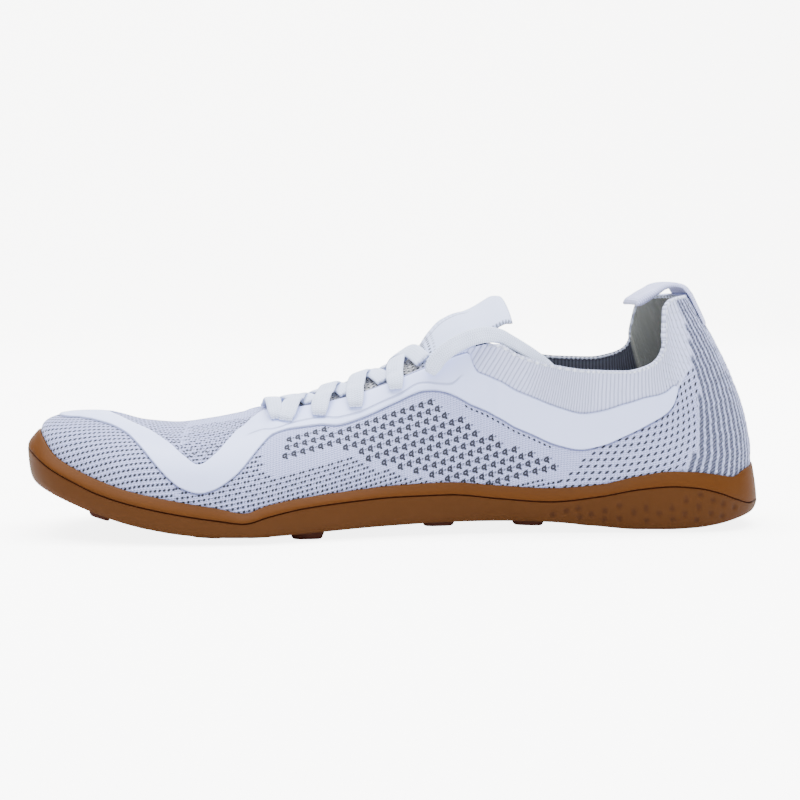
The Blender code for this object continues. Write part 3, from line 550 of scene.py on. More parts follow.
# %% Side of the sole
SIDE = (                       # station, tread, groove, rim, rim set-in
    (0, 6.5, 10.3, 24.3, 2.2),
    (8, 5.3, 10.0, 23.2, 2.3),
    (15, 4.2, 11.9, 20.6, 2.4),
    (23, 3.0, 14.8, 21.8, 2.4),
    (32, 2.1, 16.9, 22.9, 2.4),
    (42, 1.7, 17.6, 23.2, 2.4),
    (55, 1.7, 16.5, 21.5, 2.4),
    (70, 2.7, 13.8, 18.2, 2.4),
    (89, 4.2, 11.9, 16.9, 2.4),
    (108, 4.8, 13.2, 18.0, 2.4),
    (128, 4.9, 15.1, 19.6, 2.4),
    (147, 4.4, 14.9, 19.1, 2.4),
    (166, 3.7, 13.8, 17.6, 2.4),
    (184, 2.9, 12.1, 15.8, 2.4),
    (197, 2.4, 9.7, 13.6, 2.4),
    (206, 2.2, 7.4, 11.0, 2.4),
    (215, 2.4, 8.5, 12.8, 2.4),
    (228, 3.5, 10.5, 15.0, 2.5),
    (245, 6.4, 13.8, 18.2, 2.7),
    (259, 10.5, 17.9, 22.4, 2.9),
    (268, 14.0, 22.0, 26.4, 3.1),
    (277, 18.0, 26.8, 31.2, 3.5),
    (285, 22.0, 33.0, 39.0, 4.2),
)
TREAD, GROOVE, RIM, SET_IN = 1, 2, 3, 4
CORE = 4.2                     # rubber between tread and foot bed


def bed_height(station):
    return read(SIDE, TREAD, station) + CORE


print("foot bed under the ball:", round(float(bed_height(200)), 1), "mm")

# %% [markdown]
# The upper hangs on ribs. A rib starts at the rim of the sole and bows up to the collar, the throat or
# the crest of the toe. Each rib is one cubic curve, so ten numbers a rib describe the whole sock.

# %% Ribs of the upper
RIBS = (                       # foot, top, half, height, rise, belly, round, drop
    (0.0, 29.5, 0.0, 90.6, 0.36, 0.8, 0.38, 0.23),
    (1.0, 29.8, 4.0, 90.6, 0.36, 0.8, 0.38, 0.23),
    (2.6, 31.0, 8.0, 90.5, 0.36, 0.8, 0.38, 0.24),
    (7.0, 34.0, 13.8, 90.2, 0.36, 1.0, 0.36, 0.25),
    (13.0, 39.3, 18.0, 89.3, 0.36, 1.4, 0.30, 0.28),
    (19.0, 42.8, 21.3, 85.5, 0.36, 1.8, 0.20, 0.30),
    (25.0, 43.4, 23.6, 79.0, 0.36, 2.0, 0.10, 0.32),
    (31.0, 43.8, 25.3, 73.2, 0.36, 2.0, 0.05, 0.33),
    (38.0, 46.2, 26.8, 67.8, 0.36, 2.0, 0.0, 0.33),
    (47.0, 51.0, 28.2, 64.8, 0.36, 2.0, 0.0, 0.33),
    (58.0, 60.0, 29.2, 62.9, 0.36, 2.2, 0.0, 0.33),
    (75.0, 75.0, 29.2, 63.3, 0.36, 2.5, 0.0, 0.33),
    (90.0, 90.0, 28.4, 65.5, 0.36, 2.6, 0.05, 0.33),
    (102.0, 102.0, 26.6, 68.7, 0.36, 2.4, 0.12, 0.30),
    (109.0, 108.7, 24.6, 71.8, 0.36, 2.2, 0.20, 0.28),
    (113.0, 112.5, 21.2, 71.6, 0.36, 2.1, 0.28, 0.24),
    (122.0, 122.0, 17.8, 68.2, 0.36, 2.0, 0.40, 0.19),
    (134.0, 134.0, 16.8, 63.4, 0.36, 2.0, 0.45, 0.17),
    (150.0, 150.0, 15.4, 56.6, 0.38, 2.0, 0.48, 0.15),
    (163.0, 163.0, 14.0, 51.8, 0.42, 1.8, 0.50, 0.13),
    (176.0, 175.6, 12.4, 48.6, 0.46, 1.6, 0.52, 0.12),
    (189.0, 187.6, 9.6, 46.6, 0.52, 1.5, 0.55, 0.08),
    (195.5, 193.3, 6.3, 46.0, 0.56, 1.4, 0.57, 0.05),
    (199.0, 196.0, 0.0, 45.8, 0.58, 1.4, 0.58, 0.03),
    (207.0, 203.5, 0.0, 44.2, 0.60, 1.3, 0.58, 0.02),
    (220.0, 214.5, 0.0, 42.0, 0.62, 1.2, 0.58, 0.02),
    (235.0, 227.5, 0.0, 40.5, 0.64, 1.2, 0.58, 0.02),
    (249.0, 239.0, 0.0, 41.5, 0.66, 1.2, 0.60, 0.01),
    (260.0, 247.5, 0.0, 43.4, 0.68, 1.1, 0.60, 0.01),
    (269.0, 254.0, 0.0, 44.7, 0.70, 1.0, 0.60, 0.01),
    (276.0, 258.6, 0.0, 45.1, 0.72, 0.8, 0.58, 0.02),
    (281.5, 261.6, 0.0, 45.2, 0.74, 0.6, 0.56, 0.03),
    (285.0, 263.5, 0.0, 45.2, 0.76, 0.6, 0.55, 0.03),
)
print("ribs:", len(RIBS))

# %% [markdown]
# One function turns the table into points. It can be asked for any place on the upper, so the film, the
# hem and the laces can lie on the very same surface.

# %% The outer face as a curve
COLLAR_LEAN = (                # foot, how much higher the outer rim of the collar stands than the mean
    (0, 0.0), (28, 0.0), (45, 0.9), (60, 1.1), (90, 1.1), (103, 0.6), (113, 0.0), (285, 0.0),
)


def bow(foot, side, v):
    """Outer face of the upper: v is 0 at the sole's rim and 1 at the top of the rib."""
    foot = np.asarray(foot, dtype=float)
    rx, ry, nx, ny = plan_inset(foot, side, read(SIDE, SET_IN, foot) + 1.0)
    rz = read(SIDE, RIM, foot) - 0.4
    tx = read(RIBS, 1, foot)
    ty = read(PLAN, 3, tx) + side * read(RIBS, 2, foot)
    tz = read(RIBS, 3, foot) + side * read(COLLAR_LEAN, 1, foot)
    rise, belly, around, drop = (read(RIBS, k, foot) for k in (4, 5, 6, 7))
    p0 = np.stack([rx, ry, rz], axis=-1)
    p3 = np.stack([tx, ty, tz], axis=-1)
    p1 = np.stack([rx + nx * belly, ry + ny * belly, rz + rise * (tz - rz)], axis=-1)
    p2 = np.stack([tx + around * (rx - tx), ty + around * (ry - ty), tz - drop * (tz - rz)], axis=-1)
    v = np.asarray(v, dtype=float)[..., None]
    return (1 - v)**3 * p0 + 3 * (1 - v)**2 * v * p1 + 3 * (1 - v) * v**2 * p2 + v**3 * p3


def bow_at(foot, side, v):
    """One point of the upper's outer face."""
    return bow(np.array([foot]), side, np.array([v]))[0]


print("collar half width:", float(read(RIBS, 2, 75)), "mm")

# %% [markdown]
# The feet of the ribs crowd where the outline turns sharply. The way round the rim, measured in
# millimetres, is what the knit's pattern counts along.

# %% Ways round the rim
def spread(*parts):
    """Stations at several pitches: (start, end, pitch) one after another."""
    out = [np.linspace(a, b, max(2, int(round((b - a) / p)) + 1))[:-1] for a, b, p in parts]
    return np.concatenate(out + [[parts[-1][1]]])


def loop_of(stations):
    """Feet and sides round the shoe: heel, inner side, toe, outer side."""
    feet = np.concatenate([stations, stations[-2:0:-1]])
    sides = np.concatenate([np.full(len(stations), INNER), np.full(len(stations) - 2, OUTER)])
    return feet, sides


def by_side(feet, sides, function):
    """Values of a function of foot and side, for a loop of both sides."""
    return np.concatenate([function(feet[sides == side], side) for side in (INNER, OUTER)])


CHART_FEET = LENGTH * (0.5 - 0.5 * np.cos(math.pi * np.linspace(0, 1, 1201)))
RIM_RUN = {}
for side in (INNER, OUTER):
    line = bow(CHART_FEET, side, np.zeros(len(CHART_FEET)))
    RIM_RUN[side] = np.concatenate([[0], np.cumsum(np.hypot(*np.diff(line[:, :2], axis=0).T))])
ROUND = float(RIM_RUN[INNER][-1])          # way round the rim from heel to toe tip, inner side


def run_of(foot, side):
    """Way round the rim from the heel's back to a rib; the outer side is read at the same scale."""
    return np.interp(foot, CHART_FEET, RIM_RUN[side]) * ROUND / RIM_RUN[side][-1]


print("way round the rim, inner side:", round(ROUND, 1), "mm")

# %% [markdown]
# The floor is a pale sheet that rises in a curve behind the shoe, so that no horizon shows. The light
# is a studio's: a broad, strong panel above, a soft weaker one from the camera's side, one behind that
# lifts the edges, and one for the sweep. The sheet also looks a little brighter than it is, as white
# paper does when a photograph is exposed for a white shoe.

# %% Floor and lights
SWEEP_START = 1.4              # where the sheet starts to rise behind the shoe
SWEEP_RADIUS = 1.2
SHEET_GLOW = 5.0
sweep = [(y, 0.0) for y in (-4.0, -1.5, 0.0, SWEEP_START)]
sweep += [(SWEEP_START + SWEEP_RADIUS * math.sin(a), SWEEP_RADIUS * (1 - math.cos(a)))
          for a in np.linspace(0.15, math.pi / 2, 12)]
sweep += [(SWEEP_START + SWEEP_RADIUS, 4.0)]
floor_points = [(x, y, z) for y, z in sweep for x in (-5.0, 5.0)]
floor_mesh = bpy.data.meshes.new("floor")
floor_mesh.from_pydata(floor_points, [], grid_faces(len(sweep), 2))
floor_mesh.polygons.foreach_set("use_smooth", [True] * len(floor_mesh.polygons))
floor = bpy.data.objects.new("floor", floor_mesh)
floor.location.z = -0.0003
home.objects.link(floor)
floor_look, t, floor_shader = new_material("floor", 0.8)
floor_shader.inputs["Base Color"].default_value = rgb(252, 250, 246)
floor_shader.inputs["Emission Color"].default_value = (1.0, 1.0, 1.0, 1.0)
seen = node(t, "ShaderNodeLightPath").outputs["Is Camera Ray"]
t.links.new(times(t, seen, SHEET_GLOW), floor_shader.inputs["Emission Strength"])
floor_mesh.materials.append(floor_look)


def panel(name, place, aim, size, watts, tint):
    """Soft square light that looks at a point."""
    data = bpy.data.lights.new(name, "AREA")
    data.shape = "RECTANGLE"
    data.size, data.size_y = size
    data.energy = watts
    data.color = tint
    made = bpy.data.objects.new(name, data)
    home.objects.link(made)
    way = (Vector(aim) - Vector(place)).to_track_quat("-Z", "Y").to_matrix().to_4x4()
    made.matrix_world = Matrix.Translation(Vector(place)) @ way


MIDDLE = (-0.1, 0.0, 0.04)
LIGHTS = (                     # name, place, aim, size, watts, tint
    ("light_above", (-0.12, -0.10, 1.25), MIDDLE, (1.5, 1.3), 54.0, (0.95, 0.975, 1.0)),
    ("light_front", (-0.45, -1.5, 0.8), MIDDLE, (1.2, 0.8), 9.0, (0.92, 0.96, 1.0)),
    ("light_back", (0.35, 1.2, 0.8), MIDDLE, (1.2, 0.8), 9.0, (1.0, 1.0, 1.0)),
    ("light_sweep", (-0.1, 0.5, 2.3), (-0.1, 2.6, 0.7), (3.5, 0.8), 150.0, (1.0, 1.0, 1.0)),
)
for light in LIGHTS:
    panel(*light)
studio = bpy.data.worlds.new("studio")
studio.use_nodes = True
studio.node_tree.nodes["Background"].inputs["Color"].default_value = (0.97, 0.98, 1.0, 1.0)
studio.node_tree.nodes["Background"].inputs["Strength"].default_value = 0.8
bpy.context.scene.world = studio
print("floor and", len(LIGHTS), "soft lights")

# %% [markdown]
# Small repeats of the knit are drawn with a lattice: the sheet's two running distances are cut into
# cells, each row shifted by a share of the pitch, and a shape is drawn once in every cell. A soft oval
# inside its cell is a stitch, a pinhole or a short slit, as its size and turn say.

# %% Lattice and oval groups
lattice_group, g_in, g_out = new_group(
    "lattice", [("Across", 0.0), ("Up", 0.0), ("Pitch", 2.0), ("Row", 2.0), ("Shift", 0.5)],
    ["Cell Across", "Cell Up", "Local Across", "Local Up"])
w = lattice_group
row = sum_of(w, "FLOOR", sum_of(w, "DIVIDE", g_in["Up"], g_in["Row"]))
slide = times(w, times(w, row, g_in["Shift"]), g_in["Pitch"])
column = sum_of(w, "FLOOR", sum_of(w, "DIVIDE", plus(w, g_in["Across"], slide), g_in["Pitch"]))
cell_x = minus(w, times(w, plus(w, column, 0.5), g_in["Pitch"]), slide)
cell_y = times(w, plus(w, row, 0.5), g_in["Row"])
feed(w, g_out["Cell Across"], cell_x)
feed(w, g_out["Cell Up"], cell_y)
feed(w, g_out["Local Across"], minus(w, g_in["Across"], cell_x))
feed(w, g_out["Local Up"], minus(w, g_in["Up"], cell_y))

oval_group, g_in, g_out = new_group(
    "oval", [("Across", 0.0), ("Up", 0.0), ("Centre Across", 0.0), ("Centre Up", 0.0),
             ("Half Length", 1.0), ("Half Width", 0.5), ("Turn", 0.0), ("Edge", 0.25)], ["Mask"])
w = oval_group
dx = minus(w, g_in["Across"], g_in["Centre Across"])
dy = minus(w, g_in["Up"], g_in["Centre Up"])
cosine = sum_of(w, "COSINE", g_in["Turn"])
sine = sum_of(w, "SINE", g_in["Turn"])
long_way = plus(w, times(w, dx, cosine), times(w, dy, sine))
short_way = minus(w, times(w, dy, cosine), times(w, dx, sine))
a = sum_of(w, "DIVIDE", long_way, g_in["Half Length"])
b = sum_of(w, "DIVIDE", short_way, g_in["Half Width"])
far = sum_of(w, "SQRT", plus(w, times(w, a, a), times(w, b, b)))
feed(w, g_out["Mask"], ramp(w, far, plus(w, 1.0, g_in["Edge"]), minus(w, 1.0, g_in["Edge"])))
print("lattice and oval groups made")

# %% [markdown]
# The cup sole is one rubber moulding. Its wall leans in above a thin groove, catches the light there as
# a bevel, and turns under below it. A mesh of rings round the outline gives the wall; the fine ripples
# at the toe and the shallow pits round the heel are pressed into the same rings.

# %% Rings of the sole
def feet_at(*parts):
    """Rib feet from ways round the rim, so that they crowd evenly at heel and toe."""
    runs = spread(*parts) * ROUND / parts[-1][1]
    feet = np.interp(runs, RIM_RUN[INNER], CHART_FEET)
    feet[0], feet[-1] = 0.0, LENGTH
    return feet


SOLE_FEET, SOLE_SIDES = loop_of(feet_at((0, 112, 0.6), (112, 262, 1.8), (262, 311, 0.4)))
EDGE = (                       # ring, inset, share of the height from tread to groove
    (0, 6.4, 0.02),
    (3, 4.8, -0.045),
    (7, 3.1, -0.055),
    (11, 1.8, 0.02),
    (14, 1.0, 0.20),
    (18, 0.4, 0.55),
    (22, 0.1, 0.93),
)
PITS = (                       # station, height of the pits round the heel, below the groove
    (87.8, 6.9), (82.7, 8.4), (78.1, 9.3), (77.3, 5.8), (73.0, 6.9), (67.9, 8.2), (67.9, 4.9),
    (62.3, 10.3), (62.2, 5.3), (56.7, 7.7), (52.1, 9.3), (51.5, 4.5), (46.9, 7.2), (42.1, 9.4),
    (41.6, 5.0), (37.0, 7.0), (36.7, 12.4), (31.5, 9.7), (31.0, 14.5), (32.1, 4.5), (26.4, 7.2),
    (25.8, 12.2), (21.4, 10.5), (21.5, 6.0), (16.4, 9.0),
)
PIT_RADIUS = 1.25
PIT_DEPTH = 0.45
RIPPLE_PITCH = 1.7


def sole_ring(inset, height_of):
    """One ring round the sole; the height may depend on the foot and on where the ring ends up."""
    rings = []
    for side in (INNER, OUTER):
        feet = SOLE_FEET[SOLE_SIDES == side]
        x, y, nx, ny = plan_inset(feet, side, inset(feet))
        rings.append(np.stack([x, y, height_of(feet, x), nx, ny], axis=-1))
    return np.concatenate(rings)


print("pits:", len(PITS))

# %% [markdown]
# The rings run from the tread's edge up the wall, through the groove and the bevel, over the rim and
# down inside the cup to the foot bed.

# %% Stacking the rings
sole_rings = []
for ring in range(23):
    inset, share = float(read(EDGE, 1, ring)), float(read(EDGE, 2, ring))
    sole_rings.append(sole_ring(
        lambda f, i=inset: np.full_like(f, i),
        lambda f, x, q=share: read(SIDE, TREAD, x) + q * (read(SIDE, GROOVE, f) - read(SIDE, TREAD, f))))
BEVEL = (                      # inset and rise of the rings through the groove
    (0.10, -0.60), (0.14, -0.34), (0.42, -0.22), (0.75, 0.0), (0.50, 0.22), (0.24, 0.34), (0.22, 0.62),
)
for inset, rise in BEVEL:
    sole_rings.append(sole_ring(lambda f, i=inset: np.full_like(f, i),
                                lambda f, x, q=rise: read(SIDE, GROOVE, f) + q))
for share in (0.18, 0.36, 0.54, 0.70, 0.84, 0.94, 1.0):
    sole_rings.append(sole_ring(
        lambda f, q=share: 0.22 + (read(SIDE, SET_IN, f) - 0.22) * q**1.35,
        lambda f, x, q=share: read(SIDE, GROOVE, f) + 0.62
        + (read(SIDE, RIM, f) - read(SIDE, GROOVE, f) - 0.62) * q - 0.12 * (q > 0.99)))
for extra, down in ((0.35, 0.02), (0.8, 0.25)):
    sole_rings.append(sole_ring(lambda f, q=extra: read(SIDE, SET_IN, f) + q,
                                lambda f, x, q=down: read(SIDE, RIM, f) - q))
sole_rings.append(sole_ring(lambda f: read(SIDE, SET_IN, f) + 1.2,
                            lambda f, x: bed_height(x) + 1.6
                            + 0.33 * (read(SIDE, RIM, f) - 0.4 - bed_height(x) - 1.6)))
sole_rings.append(sole_ring(lambda f: read(SIDE, SET_IN, f) + 2.6, lambda f, x: bed_height(x) + 0.8))
sole_rings.append(sole_ring(lambda f: read(SIDE, SET_IN, f) + 4.4, lambda f, x: bed_height(x)))
sole = np.array(sole_rings)

# pits and ripples press the wall in along its own outward direction
below = read(SIDE, GROOVE, SOLE_FEET)[None, :] - sole[..., 2]
pit = np.zeros(sole.shape[:2])
for station, height in PITS:
    away = np.hypot(sole[..., 0] - station, sole[..., 2] - height)
    pit = np.maximum(pit, np.clip(1.25 - (away / PIT_RADIUS)**2, 0, 1))
pit *= (below > 0.7) & (np.arange(len(sole))[:, None] > 2)
way_round = by_side(SOLE_FEET, SOLE_SIDES, run_of)[None, :]
ripple = (np.clip((way_round - 262) / 6, 0, 1) * np.clip((8.5 - np.arange(len(sole))[:, None]) / 3, 0, 1)
          * (0.5 - 0.5 * np.cos(2 * math.pi * way_round / RIPPLE_PITCH)))
sole[..., 0] -= sole[..., 3] * (pit * PIT_DEPTH + ripple * 0.35)
sole[..., 1] -= sole[..., 4] * (pit * PIT_DEPTH + ripple * 0.35)
sole[..., 2] += ripple * 0.45
print("sole rings:", sole.shape[:2])

# %% [markdown]
# The tread and the foot bed close the rings. Under the tread stand rows of low oblong lugs with
# rounded edges; those at the rim show below the sole's line in the side view.

# %% Closing the sole
ring_count, loop_count = sole.shape[:2]
sole_points = [world(sole[..., :3]).reshape(-1, 3)]
sole_faces = grid_faces(ring_count, loop_count, close_columns=True)
SPAN = 10
half_count = loop_count // 2
base = ring_count * loop_count
for ring_index, height in ((0, lambda x: read(SIDE, TREAD, x) + 0.05), (ring_count - 1, bed_height)):
    a = sole[ring_index, 1:half_count, :3]
    b = sole[ring_index, :half_count:-1, :3]
    t = np.linspace(0, 1, SPAN + 1)[None, :, None]
    rungs = a[:, None] * (1 - t) + b[:, None] * t
    rungs[:, 1:-1, 2] = height(rungs[:, 1:-1, 0])
    sole_points.append(world(rungs).reshape(-1, 3))
    sole_faces += grid_faces(len(rungs), SPAN + 1, base=base)
    for end, tip in ((0, 0), (len(rungs) - 1, half_count)):
        for c in range(SPAN):
            sole_faces.append([base + end * (SPAN + 1) + c, base + end * (SPAN + 1) + c + 1,
                               ring_index * loop_count + tip])
    base += len(rungs) * (SPAN + 1)
shell_total = base
print("shell points:", base)

# %% [markdown]
# Each lug is a low oblong of four rings. The rows alternate their stagger, and the lugs keep level with
# the floor where the tread is close to it.

# %% Lugs
LUGS = (                       # station, set-in of the end lugs inner and outer, count, tall, stagger
    (18, 14.0, 14.0, 2, 1.6, 0.0),
    (35, 13.0, 14.0, 3, 2.4, 0.0),
    (53, 13.0, 13.0, 3, 2.0, 2.0),
    (71, 13.0, 12.0, 3, 1.6, 2.0),
    (96, 7.6, 11.0, 4, 2.3, 2.0),
    (114, 14.0, 11.0, 3, 1.6, 2.0),
    (131, 7.6, 11.0, 4, 2.3, 2.0),
    (148, 14.0, 11.0, 3, 1.6, 2.0),
    (165, 14.0, 11.0, 4, 1.6, 2.0),
    (182, 7.6, 11.0, 4, 3.2, 2.0),
    (200, 14.0, 12.0, 5, 1.8, 0.0),
    (219, 14.0, 12.0, 4, 1.9, 2.0),
    (239, 14.0, 12.0, 4, 1.6, 2.0),
    (258, 8.0, 11.0, 3, 1.9, 0.0),
)
LUG_LENGTH = 13.2
LUG_WIDTH = 6.8
TOE_LUG = 0.62                 # share of the length that the lugs under the toe's edge have
TOE_LUGS_FROM = 250
# The material paints shade on all that carries this depth: the tread and the lugs underneath
NO_WALL = 40.0                 # what tread and lugs carry as their depth below the groove
LUG_RINGS = ((1.06, 1.0), (1.0, 0.55), (0.9, 0.12), (0.82, 0.0))     # spread and height of a lug's rings
LUG_SIDES = 20
for row, (station, set_inner, set_outer, number, tall, stagger) in enumerate(LUGS):
    y_in = float(plan_inset(float(station), INNER, set_inner)[1])
    y_out = float(plan_inset(float(station), OUTER, set_outer)[1])
    for k in range(number):
        y = y_in + (y_out - y_in) * k / (number - 1)
        along = station + (0 if k == 0 else stagger if (row + k) % 2 else -stagger)
        tread = float(read(SIDE, TREAD, along))
        foot_z, top_z = max(0.0, tread - tall), tread + 0.9
        slope = 0.0 if foot_z <= 0 else float(read(SIDE, TREAD, along + 3) - read(SIDE, TREAD, along - 3)) / 6
        for grow, lift in LUG_RINGS:
            turn = np.linspace(0, 2 * math.pi, LUG_SIDES, endpoint=False)
            long = LUG_LENGTH * (TOE_LUG if station > TOE_LUGS_FROM else 1.0)
            u = np.sign(np.cos(turn)) * np.abs(np.cos(turn))**0.7 * long / 2 * grow * 0.96
            v = np.sign(np.sin(turn)) * np.abs(np.sin(turn))**0.7 * LUG_WIDTH / 2 * grow * 0.93
            z = foot_z + (top_z - foot_z) * lift + slope * u
            sole_points.append(world(np.stack([along + u, y + v, z], axis=-1)))
        sole_faces += grid_faces(len(LUG_RINGS), LUG_SIDES, close_columns=True, base=base)
        sole_faces += [[base + i for i in range(LUG_SIDES)][::-1],
                       [base + (len(LUG_RINGS) - 1) * LUG_SIDES + i for i in range(LUG_SIDES)]]
        base += len(LUG_RINGS) * LUG_SIDES
sole_points = np.concatenate(sole_points)
wall_below = np.full(len(sole_points), NO_WALL)
wall_below[:ring_count * loop_count] = (read(SIDE, GROOVE, SOLE_FEET)[None, :] - sole[..., 2]).ravel()
wall_pit = np.zeros(len(sole_points))
wall_pit[:ring_count * loop_count] = pit.ravel()
print("sole points:", len(sole_points), "lug points:", base - shell_total)

# %% [markdown]
# Gum rubber is a warm brown with almost no pattern: faint clouds and a fine matt grain. Painted shade
# darkens the groove, the pits, and the tread and lugs underneath; painted light makes the bevel above
# the groove a little lighter.

# %% Gum rubber
gum_look, t, gum_shader = new_material("gum_rubber", 0.6)
gum_shader.inputs["Specular IOR Level"].default_value = 0.12
level = point_value(t, "below")
# Painted light on the wall above the groove, faint clouds, then painted shade on the tread and lugs, in the
# groove and in the pits
tone = layers(t, rgb(69, 37, 4),
              (ramp(t, level, 0.1, -0.5), 1.0, (78, 42, 4)),
              (noise(t, 45.0, 4.0), 0.3, (56, 30, 4)),
              (ramp(t, level, 28.0, 38.0), 1.0, (50, 18, 5)),
              (ramp(t, size_of(t, level), 0.40, 0.16), 0.9, (44, 12, 3)),
              (point_value(t, "pit"), 0.6, (50, 22, 3)))
t.links.new(tone, gum_shader.inputs["Base Color"])
bump(t, gum_shader, noise(t, 2600.0), 0.10, 0.0002)
sole_piece = make_mesh("cup_sole", sole_points, sole_faces, [gum_look],
                       {"below": wall_below, "pit": wall_pit}, sharp=50)
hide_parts("outsole")
print("cup sole:", len(sole_piece.data.polygons), "faces")

# %% [markdown]
# The knitted sock is a sheet over the ribs with a real wall. The mesh carries the numbers that the
# knit's pattern needs at every point: the way round the rim, the height up the cloth, the course, which
# is the line a row of stitches follows, and the count of ropes from the middle of the heel.

# %% Grid of the upper
WALL = 1.8
UPPER_FEET, UPPER_SIDES = loop_of(feet_at((0, 64, 0.7), (64, 250, 1.75), (250, 311, 1.3)))
UPPER_BOWS = np.concatenate([np.linspace(0, 0.9, 46)[:-1], np.linspace(0.9, 1.0, 9)])


def cup_rows(feet, side):
    """Two rows of the upper inside the sole's cup."""
    set_in = read(SIDE, SET_IN, feet)
    x, y, _, _ = plan_inset(feet, side, set_in + 3.2)
    first = np.stack([x, y, bed_height(x) + 1.35], axis=-1)
    x, y, _, _ = plan_inset(feet, side, set_in + 1.7)
    low = bed_height(x) + 1.6
    second = np.stack([x, y, low + 0.35 * (read(SIDE, RIM, feet) - 0.4 - low)], axis=-1)
    return np.stack([first, second], axis=1)


def upper_grid(feet, sides):
    return by_side(feet, sides, lambda f, s: np.concatenate(
        [cup_rows(f, s), np.stack([bow(f, s, np.full(len(f), v)) for v in UPPER_BOWS], axis=1)], axis=1))


upper = upper_grid(UPPER_FEET, UPPER_SIDES)
rib_total, row_total = upper.shape[:2]
bows = np.concatenate([[-0.08, -0.03], UPPER_BOWS])[None, :] * np.ones((rib_total, 1))
rim_height = read(SIDE, RIM, UPPER_FEET) - 0.4
climb = way_along(upper)
climb = climb - climb[:, 2:3] + rim_height[:, None]
around = by_side(UPPER_FEET, UPPER_SIDES, run_of)

COURSE_RISE = (                # way round the rim, how steeply the courses climb towards the heel there
    (0, 0.55), (45, 0.48), (54, 0.38), (60, 0.25), (66, 0.18), (75, 0.09), (85, 0.02), (95, 0.06),
    (105, 0.2), (125, 0.29), (165, 0.28), (195, 0.23), (230, 0.19), (245, 0.12), (257, 0.1),
    (265, 0.2), (275, 0.31), (290, 0.33), (311, 0.35),
)
CHART_RUN = np.linspace(0, 311.1, 623)
COURSE_LIFT = np.concatenate([[0], np.cumsum(read(COURSE_RISE, 1, CHART_RUN[1:]) * np.diff(CHART_RUN))])


def course_of(run, height):
    return height + np.interp(run, CHART_RUN, COURSE_LIFT)


ROPE_PITCH = ((0.0, 3.0), (0.25, 2.72), (0.47, 2.27), (0.62, 2.03), (0.8, 1.85), (1.0, 1.7))
from_heel = np.zeros((rib_total, row_total))
for side in (INNER, OUTER):
    chosen = np.where(UPPER_SIDES == side)[0]
    if side == OUTER:
        chosen = np.concatenate([chosen, [0]])[::-1]
    from_heel[chosen] = way_along(upper[chosen][..., :2].swapaxes(0, 1)).T
ropes = from_heel / read(ROPE_PITCH, 1, bows)
print("upper grid:", rib_total, "ribs of", row_total, "points")

# %% [markdown]
# Round the heel the knit makes raised ropes with darker, sunken bands between them. They fan out
# downwards, and new ones start at the front edge in steps. The relief is real, pressed into the sheet,
# and so are a few soft creases that a worn-in sock shows; colour and stitches come with the material.

# %% Relief of the upper
ROPE_STARTS = (                # count of the rope from the middle of the heel, bow position it starts at
    (10, 0.985), (11, 0.985), (12, 0.83), (13, 0.75), (14, 0.67), (15, 0.49), (16, 0.16), (17, 0.02),
)


def rope_reach(count):
    """Bow position up to which a rope runs; the count is taken at the rope's own middle."""
    return np.interp(count, *zip(*ROPE_STARTS), right=-1.0)


wobble = 0.07 * np.sin(climb * 2.1 + np.floor(ropes - 0.1) * 1.9) + 0.05 * np.sin(climb * 0.9)
ropes_wavy = ropes + wobble
roped = np.clip((rope_reach(np.floor(ropes_wavy - 0.1)) - bows) / 0.012, 0, 1) * (UPPER_FEET[:, None] < 60)
rope_relief = roped * (0.42 * np.cos(2 * math.pi * (ropes_wavy - 0.1)) + 0.06 * np.sin(climb * 3.7))
print("ropes end at", ROPE_STARTS[-1][0])

# %% [markdown]
# A few creases are placed where such a shoe bends: across the vamp, below the ankle and along
# the arch. Then the relief is pressed into the sheet.

# %% Soft creases
CREASES = (                    # foot, bow, half length along the foot, half width up, depth, slant
    (208.0, 0.72, 16.0, 0.050, 0.45, 0.004),
    (224.0, 0.64, 14.0, 0.050, 0.40, 0.004),
    (236.0, 0.78, 12.0, 0.045, 0.35, 0.003),
    (120.0, 0.30, 26.0, 0.060, 0.30, 0.002),
    (150.0, 0.22, 24.0, 0.050, 0.25, -0.002),
    (92.0, 0.20, 20.0, 0.060, 0.35, 0.002),
    (70.0, 0.80, 18.0, 0.050, 0.30, 0.001),
    (98.0, 0.86, 12.0, 0.040, 0.35, 0.002),
    (50.0, 0.45, 14.0, 0.070, 0.30, 0.004),
)


def crease_depth(feet, v):
    """Soft troughs placed one by one, each with a low ridge on both sides."""
    total = np.zeros(np.broadcast(feet, v).shape)
    for foot, middle, long, wide, depth, slant in CREASES:
        across = (v - middle - slant * (feet - foot)) / wide
        profile = 1.5 * np.exp(-across**2) - 0.6 * np.exp(-(across / 1.9)**2)
        total -= depth * np.exp(-((feet - foot) / long)**2) * profile
    return total


upper_out = grid_normals(world(upper), close_rows=True)
if np.mean(upper_out[:rib_total // 2, 5, 1]) > 0:
    upper_out = -upper_out
crest = (read(RIBS, 2, UPPER_FEET) < 0.02) & (UPPER_FEET > 150)
upper_out[crest, -1, 1] = 0.0
upper_out[:, :2] = upper_out[:, 2:3]
upper_out = unit(upper_out)
relief = rope_relief + crease_depth(UPPER_FEET[:, None], bows) * (bows > 0.02)
outer_face = world(upper) + upper_out * (relief * MM)[..., None]
print("relief from", round(float(relief.min()), 2), "to", round(float(relief.max()), 2), "mm")

# %% [markdown]
# Each zone of the knit has its own repeat: round pinholes on the toe, paired slits along the side of the
# ball, loops with a tail in the open band of the arch, slanted slits before the heel. A zone is the
# space between two curves over the way round the rim, tested at the middle of each cell, so that no
# hole is ever cut in half at a border.

# %% Zone curves
RUN_SPAN = 320.0
COURSE_SPAN = 160.0


